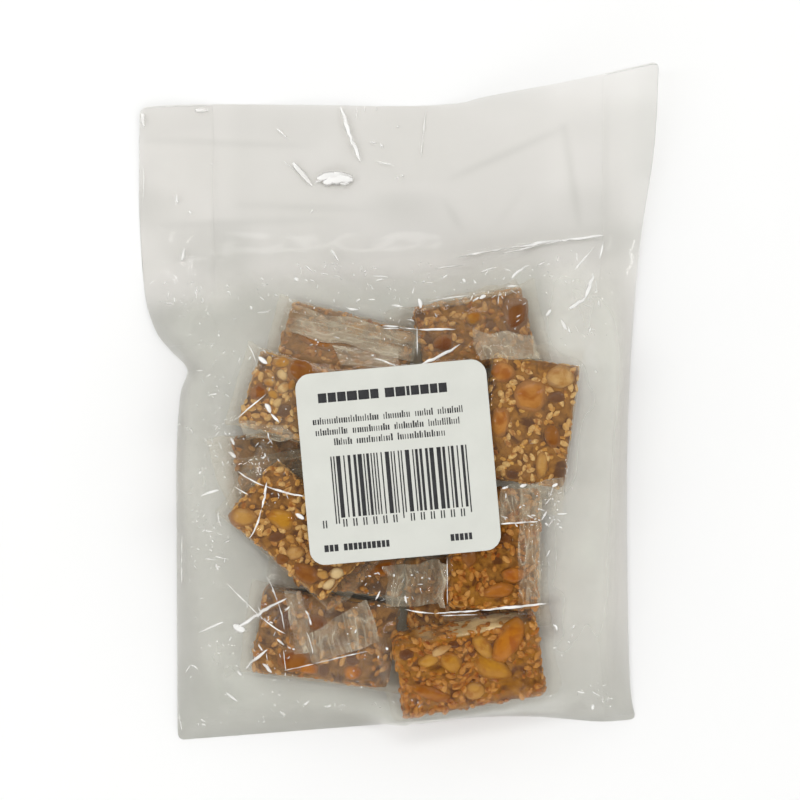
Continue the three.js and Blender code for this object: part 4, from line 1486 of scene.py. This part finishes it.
x, y = FLAT[..., 0], FLAT[..., 1]
rim_fade, far_fade = ramp(to_rim, 0, 3), ramp(to_rim, 0, 10)
top_sheet = smoothed(front, 6, (under_label(FLAT, 0.3) > 0) * 1.0)
top_sheet = smoothed(top_sheet, 70, 1 - ramp(y, 22, 32) * ramp(-y, -56, -46))
top_sheet = top_sheet + film_crumples(FLAT, 100) * strength * rim_fade + ridges * rim_fade
seal = np.exp(-(((along[:, None] - SEAL_LINE["at"]) / SEAL_LINE["half_width"]) ** 2)) + 0 * to_side
below = UNDERSIDE + 0.05 + 0.1 * crumple(FLAT, 6.0, 140) * far_fade
below = below + 0.06 * film_crumples(FLAT, 160) * (1 - FILLED) * far_fade
top_sheet = np.maximum(top_sheet, below + 0.2 * far_fade + 0.02)
drawn_in = (0.04 + 0.96 * ramp(x, 6, 22)) * ramp(-x, -58, -54)
top_sheet = top_sheet + (below + 0.12 - top_sheet) * seal * rim_fade * drawn_in
front_points, back_points = (
    with_hem(np.concatenate([FLAT, level[..., None]], axis=-1)) for level in (top_sheet, below)
)
shell_points, shell_faces = closed_shell(front_points, back_points)
print("the film is up to", shell_points[:, 2].max().round(2), "mm high")

# %% [markdown]
# ### The haze of the film, with painted light and shade
#
# Film that hangs free is hazier than film that lies on a wrapper. Its white veil is strongest next to
# the pile, where it also paints light into the pile's shade, most of all right of the pile. Small
# facets are milky, and their lighter smudges are painted light. The header has wide soft clouds,
# painted shade along a few folds and towards its right edge, and a darker band beside its left fold.
# The rest of the grey lies in the back sheet: less of it right of the pile and under the header's
# left fold paints light into their shade, and more towards the foot is painted shade.

# %% Make the bag film
# The first number is a white veil on film that hangs free, strongest next to the pile, where it also paints
# light into the pile's shade; the second is the back sheet's grey.
HANGING_HAZE_AND_PAINTED_LIGHT, GREY_BELOW = 0.24, 0.16
# Each fold of the header, drawn only as painted shade along its line: from x, y to x, y and how dark it is.
HEADER_FOLD_SHADES = [
    (44.6, 74, 49, 48, 0.09), (14.2, 60.8, 44.6, 74, 0.06), (12.3, 54.2, 17, 46.6, 0.05),
    (55.4, 84, 55.9, 47, 0.04), (25.5, 46.6, 34.2, 58.1, 0.02), (-69, 71, -24, 69.5, 0.045),
    (-44, 53.5, -8, 52, 0.04), (-68, 47.5, -20, 49.5, 0.04),
]


def blurred(level, passes):
    return smoothed(level, passes, 0 * level)


pile_cover = blurred((pile_top(FLAT) > 0) * 1.0, 110)
hanging = blurred(ramp(-pile_cover, -0.78, -0.48), 10) * FILLED * ramp(top_sheet, 2.5, 8)
# Right of the pile, more white veil and less grey below paint light into its shade.
beside_pile = ramp(x, 36, 44) * ramp(y, -88, -50)
haze_and_painted_light = hanging * (HANGING_HAZE_AND_PAINTED_LIGHT + 0.13 * beside_pile) * (1 + 0.25 * noise(FLAT, 10, 171))
in_gap = ramp(-np.abs(x - 21), -24, -18) * ramp(-np.abs(y + 57), -8, -4)
haze_and_painted_light = haze_and_painted_light * (1 - 0.9 * in_gap)
# Lighter milky smudges on the crumpled facets are painted light; along the heat seal the milkiness is the
# seal's own.
facets = 0.06 * strength * ramp(crumple(FLAT, 4.5, 172), 0.3, 0.9) + 0.04 * seal
soft = noise(FLAT * (0.6, 1.4), 15, 170)
milk_and_painted_light = haze_and_painted_light + facets + 0.035 * ramp(soft, 0.1, 0.8) * (1 - FILLED)
# Soft smoky clouds in the header, then painted shade towards its right edge and curled corner, and a darker
# band right of the left fold's inner edge.
smoke_and_painted_shade = 0.06 * ramp(-soft, -0.1, 0.8) + 0.02 * ramp(x, 48, 58) + 0.06 * ramp(x, 60, 68)
smoke_and_painted_shade = smoke_and_painted_shade + 0.045 * ramp(x, -51.8, -51.2) * ramp(-x, 36, 50) * (0.4 + 0.6 * ramp(-y, -66, -36))
smoke_and_painted_shade = smoke_and_painted_shade * (1 - FILLED)
# Painted shade along each header fold.
for x0, y0, x1, y1, amount in HEADER_FOLD_SHADES:
    reach = np.array([x1 - x0, y1 - y0])
    part = np.clip(((FLAT - (x0, y0)) @ reach) / (reach @ reach), 0, 1)
    aside = np.linalg.norm(FLAT - (x0, y0) - part[..., None] * reach, axis=-1)
    smoke_and_painted_shade = smoke_and_painted_shade + amount * np.exp(-((aside / 1.1) ** 2)) * (0.4 + 2.4 * part * (1 - part))
# Painted shade: more grey towards the foot.
at_foot = ramp(-y, 66, 80) * ramp(-x, -40, -20)
# Less grey under the header's left fold and right of the pile paints light into their shade.
grey_below = 0.055 - 0.03 * beside_pile - 0.02 * ramp(-x, 50.8, 52.0) * (1 - FILLED)
grey_below = grey_below + (GREY_BELOW - 0.16 * beside_pile + 0.05 * at_foot) * FILLED
at_shoulder = ramp(y, 22, 30) * ramp(-x, 42, 50)
grey_below = grey_below * (1 - 0.6 * at_shoulder)
finish = {
    "veil": shell_numbers(smoke_and_painted_shade + milk_and_painted_light, grey_below),
    "milk": shell_numbers(milk_and_painted_light / (smoke_and_painted_shade + milk_and_painted_light + 1e-4), 0 * milk_and_painted_light),
    "crumple": shell_numbers(0.2 + 0.8 * np.clip(strength, 0, 1)),
}
bag_film = make_piece("bag_film", shell_points, shell_faces, bag_plastic, "film", finish)
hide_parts("bag")
print("the bag film has", len(shell_faces), "faces")

# %% [markdown]
# ### Hairline creases with painted glints
#
# The sharpest creases are far narrower than the cells of the film's grid. Each is built as a slender
# closed spindle on the sheet, a pinch of film that stands up a little, and its white is a painted
# glint in place of the lamps' highlight on the crest. The long ones follow the creases above. Short
# ones, painted glints too, are strewn where the film was squeezed hardest.

# %% Make the hairline creases and their painted glints
from mathutils.bvhtree import BVHTree

front_faces = shell_faces[:CELLS[0] * CELLS[1]]
front_tree = BVHTree.FromPolygons(front_points.reshape(-1, 3).tolist(), front_faces.tolist())

# Each zone of strewn painted glints: left, right, bottom, top, how many.
ZONES = [
    (-58, -43, -16, 29, 80), (-58, -46, -54, -10, 60), (-59, -26, -90, -52, 80), (-67, -52, 25, 34, 22),
    (-39, 43, 23, 37, 125), (38, 55, 16, 39, 40), (-37, 5, -84, -79, 18), (45, 57, -82, -78, 14),
    (-10, 10, -54, -44, 26), (26, 43, -33, -22, 34), (38, 52, -79, 16, 16), (-42, -26, -8, 12, 12),
    (-38, -5, -76, -50, 22), (-26, 5, 10, 22, 30), (-46, -26, -26, -8, 30), (18, 37, 13, 31, 14),
]


def film_height(x, y):
    """The height of the front sheet at a place, or None beside the bag."""
    hit = front_tree.ray_cast(Vector((x, y, 60)), Vector((0, 0, -1)))[0]
    return hit.z if hit else None


def spindle(path, half_widths):
    """A slender closed form along a path, pointed at both ends."""
    way = np.gradient(path, axis=0)
    side = joined(-way[:, 1], way[:, 0], 0 * way[:, 0])
    side = side / np.linalg.norm(side, axis=-1, keepdims=True)
    turns = np.arange(6) * np.pi / 3
    ring = np.cos(turns)[None, :, None] * side[:, None]
    high = (0.12 / np.maximum(half_widths, 0.3))[:, None, None]
    ring = (ring + np.sin(turns)[None, :, None] * high * np.array([0, 0, 1])) * half_widths[:, None, None]
    points = np.concatenate([(path[:, None] + ring)[1:-1].reshape(-1, 3), path[:1], path[-1:]])
    count = len(path) - 2
    start, end = 6 * count, 6 * count + 1
    faces = []
    for k in range(6):
        right = (k + 1) % 6
        faces.append([start, right, k])
        faces.append([end, 6 * (count - 1) + k, 6 * (count - 1) + right])
        for row in range(0, 6 * (count - 1), 6):
            faces.append([row + k, row + right, row + 6 + right, row + 6 + k])
    return points, faces


def hairline(crease, glint_share, seed):
    """The spindle of one crease, with its painted white glint along the way, or None beside the bag."""
    x0, y0, x1, y1, thickness, bow = crease
    length = math.hypot(x1 - x0, y1 - y0)
    parts = np.linspace(0, 1, int(np.clip(length / 0.7, 1, 18)) + 4)
    line = joined(parts * length, 0 * parts + seed)
    wobble = 0.25 * thickness * noise(line, 1.3, 181)
    aside = 4 * bow * parts * (1 - parts) + wobble * (length > 2)
    x = x0 + (x1 - x0) * parts - (y1 - y0) / length * aside
    y = y0 + (y1 - y0) * parts + (x1 - x0) / length * aside
    heights = [film_height(*spot) for spot in zip(x, y)]
    if None in heights:
        return None
    path = joined(x, y, np.array(heights) + 0.12 * min(thickness, 0.8) + 0.02)
    uneven = noise(line, 0.9 + 2 * thickness, 182)
    half_widths = thickness / 2 * (4 * parts * (1 - parts)) ** 0.6 * (1 + 0.4 * uneven)
    # How much painted white glint each point of the spindle carries.
    amount = np.clip(glint_share * (0.72 + 0.45 * uneven), 0.1, 1)
    rim = 1 - 0.75 * ramp(thickness, 0.5, 1.2)  # a broad stroke fades out at its sides
    around = np.outer(amount[1:-1], (rim, 1, 1, rim, 1, 1)).ravel()
    return *spindle(path, half_widths), np.concatenate([around, amount[[0, -1]]])


def strewn_creases():
    """Short creases with painted glints in the zones, two in three of them in clusters."""
    chance = np.random.default_rng(21)
    short = []
    for left, right, bottom, top, count in ZONES:
        for index in range(count):
            if index % 5 == 0:
                spot = np.array([chance.uniform(left, right), chance.uniform(bottom, top)])
            if index % 3:
                at = spot + chance.normal(0, 1.6, 2)
            else:
                at = chance.uniform((left, bottom), (right, top))
            turn, length = chance.uniform(0, np.pi), 0.35 + chance.exponential(0.55)
            reach = np.array([math.cos(turn), math.sin(turn)]) * length / 2
            thickness = chance.uniform(0.14, 0.42)
            short.append(((*(at - reach), *(at + reach), thickness, 0.0), chance.uniform(0.35, 1.0)))
    return [item for item in short if under_label(np.array(item[0][:2])) < -1.5]


strokes = [(crease, 0.95) for crease in CREASES_AND_GLINTS] + strewn_creases()
hairlines = [hairline(crease, glint_share, seed) for seed, (crease, glint_share) in enumerate(strokes)]
hairlines = [form for form in hairlines if form]
# The spindles' veil is their painted glint white.
glint_finish = {"veil": np.concatenate([form[2] for form in hairlines]), "milk": 1.0, "crumple": 1.0}
crease_form = join_forms([form[:2] for form in hairlines])
make_piece("film_creases", *crease_form, painted_glint_plastic, "film", glint_finish)
print("made", len(hairlines), "hairline creases with", len(crease_form[1]), "faces")

# %% [markdown]
# ## The side folds
#
# The bag's sides are folded inwards. A fold shows as a band with one straight edge and a slightly
# stronger veil. Each is a thin closed shell that runs from the rim to its inner edge, between the
# two sheets.

# %% Make the side folds
# The inner edge of each fold, as x at a few heights y up the bag.
LEFT_FOLD = {"y": (20, 40, 60, 82), "x": (-50.2, -50.8, -51.2, -51.2)}
RIGHT_FOLD = {
    "y": (-90, -81, -65, -51, -42, -32, -19, 0, 27, 43, 51, 90),
    "x": (56, 55.4, 54, 50.2, 47.4, 51.9, 52.4, 53, 53.5, 55, 55, 54.8),
}


def side_fold(name, rim_column, edge_line, low, gap_share, milkiness):
    """A flat shell between the sheets, from one side of the rim to an inner edge."""
    rows = slice(int(low * CELLS[1]), int(0.997 * CELLS[1]) + 1)
    rim = FLAT[rows, rim_column]
    shares = np.concatenate([[0.003], np.linspace(0.02, 0.98, 12), [0.996, 1.0]])[None, :, None]
    inner_x = np.interp(rim[:, 1], edge_line["y"], edge_line["x"]) + 0.3 * noise(rim * (0, 1), 14, 31)
    inner = joined(inner_x, rim[:, 1])
    flat = rim[:, None] + (inner - rim)[:, None] * shares
    level, space = np.zeros((2, *flat.shape[:-1]))
    for row, (grid, back, front) in enumerate(zip(FLAT[rows], below[rows], top_sheet[rows])):
        xs = flat[row, :, 0]
        flat[row, :, 1] = np.interp(xs, grid[:, 0], grid[:, 1])
        level[row] = np.interp(xs, grid[:, 0], back)
        space[row] = np.interp(xs, grid[:, 0], front - back)
    wobble = 0.12 * noise(flat, 5, 33) + 0.1 * noise(flat * (0.3, 1), 2.5, 34)
    tops = level + space * gap_share + np.minimum(0.1 * space, 0.03) + wobble * space * 0.3
    lows = level + space * gap_share + wobble * space * 0.3
    sheets = [np.concatenate([flat, z[..., None]], axis=-1) for z in (tops, lows)]
    veil = milkiness(rim[:, 1])[:, None] * (0.85 + 0.3 * noise(flat, 10, 35))
    if rim_column == -1:
        *sheets, veil = (grid[:, ::-1] for grid in (*sheets, veil))
    finish = {"veil": shell_numbers(veil), "milk": 1.0, "crumple": 0.5}
    make_piece(name, *closed_shell(*sheets), fold_plastic, "film", finish)


def left_milkiness(y):
    return 0.015 * ramp(y, 24, 44)


def right_milkiness(y):
    return 0.01 + 0.03 * ramp(-y, -50, -40) * ramp(y, -90, -80)


side_fold("gusset_left", 0, LEFT_FOLD, 0.62, 0.4, left_milkiness)
side_fold("gusset_right", -1, RIGHT_FOLD, 0.015, 0.35, right_milkiness)
print("made two side folds")

# %% [markdown]
# ## The label
#
# A square of thin paper with round corners, stuck on the film, with a slight bend. Its print is
# only shapes: rows of blocks for words, a field of bars, and small blocks below it. Each mark is a
# thin closed plate that follows the paper's bend.

# %% Make the label sheet
PAPER = {"level": LABEL_LEVEL + 0.18, "thickness": 0.12, "bend": 0.35, "cells": 48, "hem": 0.06}


def paper_level(x, y):
    """The height of the paper's top at a place of its own: a slight bend and a faint ripple."""
    far = np.hypot(x, y) / (LABEL["side"] / 2)
    ripple = 0.05 * noise(joined(x, y), 12, 51)
    return PAPER["level"] + PAPER["thickness"] + PAPER["bend"] * (1 - 0.5 * far**2) * 0.5 + ripple


def on_label(x, y, z):
    """Places of the label's own as drawing millimetres."""
    c, s = math.cos(math.radians(LABEL["yaw"])), math.sin(math.radians(LABEL["yaw"]))
    return joined(LABEL["x"] + x * c - y * s, LABEL["y"] + x * s + y * c, z)


def round_square(side, corner, cells):
    """A grid of a square whose corners are pulled in to an arc."""
    ticks = np.linspace(-1, 1, cells + 1) * side / 2
    x, y = np.meshgrid(ticks, ticks)
    inner = side / 2 - corner
    over_x, over_y = np.maximum(np.abs(x) - inner, 0), np.maximum(np.abs(y) - inner, 0)
    far, longest = np.hypot(over_x, over_y), np.maximum(over_x, over_y)
    pull = np.where(far > 0, longest / np.maximum(far, 1e-9), 1.0)
    return (np.sign(x) * (np.minimum(np.abs(x), inner) + over_x * pull),
            np.sign(y) * (np.minimum(np.abs(y), inner) + over_y * pull))


label_x, label_y = round_square(LABEL["side"], LABEL["corner"], PAPER["cells"])
label_front = on_label(label_x, label_y, paper_level(label_x, label_y))
label_back = label_front - np.array([0, 0, PAPER["thickness"]])
label_form = closed_shell(with_hem(label_front, PAPER["hem"]), with_hem(label_back, PAPER["hem"]))
label_sheet = make_piece("label_sheet", *label_form, paper, "paper")
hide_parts("label")
print("the label lies up to", label_form[0][:, 2].max().round(2), "mm high")

# %% Make the label print
PRINT_HEIGHT = 0.03
HEADLINE = {
    "y": 18.35, "height": 2.45, "gap": 0.36,
    "words": ((-19.3, (2.2, 2.1, 2.2, 2.6, 2.8, 2.1)), (-1.8, (2.4, 2.5, 0.8, 2.1, 2.2, 1.9, 2.1))),
}
# Each line of fine strokes: its height on the label, its start and the widths of its words.
LINES = [
    (12.2, -21.2, (17.4, 7.2, 4.8, 6.8)), (9.3, -20.7, (8.6, 9.8, 7.8, 8.4)),
    (6.5, -16.1, (4.8, 9.6, 12.7)),
]
STROKE = {"pitch": 0.62, "low": 1.3, "high": 1.8, "word_gap": 1.1}
BARS = {
    "left": -17.5, "module": 0.375, "top": 3.0, "bottom": -13.1, "guard": -14.6, "count": 95, "middle": 46,
}
FIGURES = {"y": -14.5, "height": 2.0, "stroke": 0.32, "gap": 0.42, "pitch": 2.62, "starts": (1.9, 19.55)}
SMALL = {"y": -20.8, "height": 1.75, "rows": ((-21.1, (3.9, 12.4)), (11.9, (5.9,)))}


def plate(left, right, bottom, top):
    """A thin closed plate on the paper."""
    grid, faces = box_grid((1, 4, 1))
    x = left + (grid[:, 0] + 1) / 2 * (right - left)
    y = bottom + (grid[:, 1] + 1) / 2 * (top - bottom)
    return on_label(x, y, paper_level(x, y) + grid[:, 2] * PRINT_HEIGHT), faces


def row_of_blocks(left, y, height, widths, gap):
    plates = []
    for width in widths:
        plates.append(plate(left, left + width, y - height / 2, y + height / 2))
        left += width + gap
    return plates


def bar_field():
    """Bars of one to three modules at random, with longer pairs at both ends and in the middle."""
    chance = np.random.default_rng(5)
    plates, at, end = [], 0, BARS["count"]
    while at < end:
        is_guard = at < 3 or 0 <= at - BARS["middle"] < 3 or at >= end - 3
        width, gap = (1, 1) if is_guard else (int(chance.integers(1, 4)), int(chance.integers(1, 3)))
        left = BARS["left"] + at * BARS["module"]
        right = left + (width - 0.15) * BARS["module"]
        if right <= BARS["left"] + end * BARS["module"]:
            plates.append(plate(left, right, BARS["guard" if is_guard else "bottom"], BARS["top"]))
        at += width + gap
    return plates


def print_marks():
    """All marks on the paper."""
    marks = bar_field()
    for left, widths in HEADLINE["words"]:
        marks += row_of_blocks(left, HEADLINE["y"], HEADLINE["height"], widths, HEADLINE["gap"])
    chance = np.random.default_rng(8)
    for y, left, words in LINES:
        foot = y - STROKE["low"] / 2
        for word in words:
            count = round(word / STROKE["pitch"])
            for k in range(count):
                at = left + k * word / count
                top = foot + chance.choice([STROKE["low"]] * 3 + [STROKE["high"]])
                marks.append(plate(at, at + chance.uniform(0.2, 0.42), foot, top))
            left += word + STROKE["word_gap"]
    starts = [BARS["left"] - 3.4]
    starts += [BARS["left"] + start + k * FIGURES["pitch"] for start in FIGURES["starts"] for k in range(6)]
    for left in starts:
        strokes = [FIGURES["stroke"]] * 2
        marks += row_of_blocks(left, FIGURES["y"], FIGURES["height"], strokes, FIGURES["gap"])
    for left, words in SMALL["rows"]:
        for word in words:
            letters = max(2, round(word / 1.3))
            widths = (word / letters - 0.3) * chance.uniform(0.85, 1.1, letters)
            marks += row_of_blocks(left, SMALL["y"], SMALL["height"], widths, 0.3)
            left += word + 1.2
    return marks


marks = print_marks()
make_piece("label_print", *join_forms(marks), print_black, "print")
print("the print has", len(marks), "marks")

# %% [markdown]
# ## Floor, light and camera
#
# A pale floor, and light from above. Film only shows where it mirrors something bright, so the
# lights are long panels that stand aside of the camera's own mirror image: flat film then stays
# clear, and a crease flashes where it leans by half the panel's angle. A dim even sky fills in.
#
# The camera looks straight down on the bag from 450 mm.

# %% Floor
bpy.ops.mesh.primitive_plane_add(size=6)
floor = bpy.context.object
floor.name = "floor"
floor.data.materials.append(floor_white)
floor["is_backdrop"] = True
print("floor:", floor.name)

# %% Lights
# Each panel: the way it stands round the bag, its lean from straight up, its width and length in
# metres and how bright it is. The sky is dim overhead, where flat film mirrors it to the camera,
# and brighter low down: the first two numbers are heights on a unit globe.
PANELS = {
    "left": (178, 34, 0.08, 0.8, 20.0), "right": (8, 38, 0.08, 0.8, 16.0),
    "top": (98, 31, 0.7, 0.24, 6.7), "bottom": (262, 64, 1.6, 0.5, 1.5),
}
PANEL_DISTANCE = 1.25
SKY = {"bright_below": 0.5, "dark_above": 0.73, "low": 1.1, "overhead": 0.04}
scene = bpy.context.scene


def add_panel(name, way, lean, width, length, brightness):
    """A light panel that faces the bag."""
    light = bpy.data.lights.new(name, "AREA")
    light.shape = "RECTANGLE"
    light.size, light.size_y = width, length
    light.energy = brightness * math.pi * width * length
    panel = bpy.data.objects.new(name, light)
    lean, way = math.radians(lean), math.radians(way)
    aim = Vector((math.sin(lean) * math.cos(way), math.sin(lean) * math.sin(way), math.cos(lean)))
    panel.location = aim * PANEL_DISTANCE
    panel.rotation_euler = aim.to_track_quat("Z", "Y").to_euler()
    panel.visible_camera = False
    scene.collection.objects.link(panel)


for name, numbers in PANELS.items():
    add_panel(f"panel_{name}", *numbers)
world = bpy.data.worlds.new("sky")
world.use_nodes = True
sky_tree, background = world.node_tree, world.node_tree.nodes["Background"]
way_up = sky_tree.nodes.new("ShaderNodeTexCoord").outputs["Generated"]
height_up = add_node(sky_tree, "ShaderNodeSeparateXYZ", {0: way_up}).outputs["Z"]
brightness = stretched(sky_tree, height_up, *SKY.values())
background.inputs["Color"].default_value = (1, 1, 1, 1)
sky_tree.links.new(brightness, background.inputs["Strength"])
scene.world = world
scene.view_settings.view_transform = "Standard"
scene.cycles.transparent_max_bounces = 40
scene.cycles.caustics_reflective = False
print("light panels:", len(PANELS), "sky:", SKY)

# %% Camera
CAMERA_HEIGHT = 450.0
HALF_VIEW = 109.6  # half of what it sees of the table, in millimetres
camera_data = bpy.data.cameras.new("camera")
camera_data.angle = 2 * math.atan(HALF_VIEW / CAMERA_HEIGHT)
camera_data.clip_start = 0.01
camera = bpy.data.objects.new("camera", camera_data)
camera.location = Vector((*(DRAWING_TO_FRAME[:2] * MM), CAMERA_HEIGHT * MM))
scene.collection.objects.link(camera)
bpy.context.scene.camera = camera
print("camera at", [round(value, 4) for value in camera.location])

# %% [markdown]
# ## Size and finish
#
# The box of the frame and the box of what was made are printed side by side. The looks may not
# grow past the solid.

# %% Size and finish
bpy.context.view_layer.update()
boxes = {"cad": cad_size, "visual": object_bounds()}
for key, corners in boxes.items():
    print(key, "box:", [[round(value, 4) for value in corner] for corner in corners])
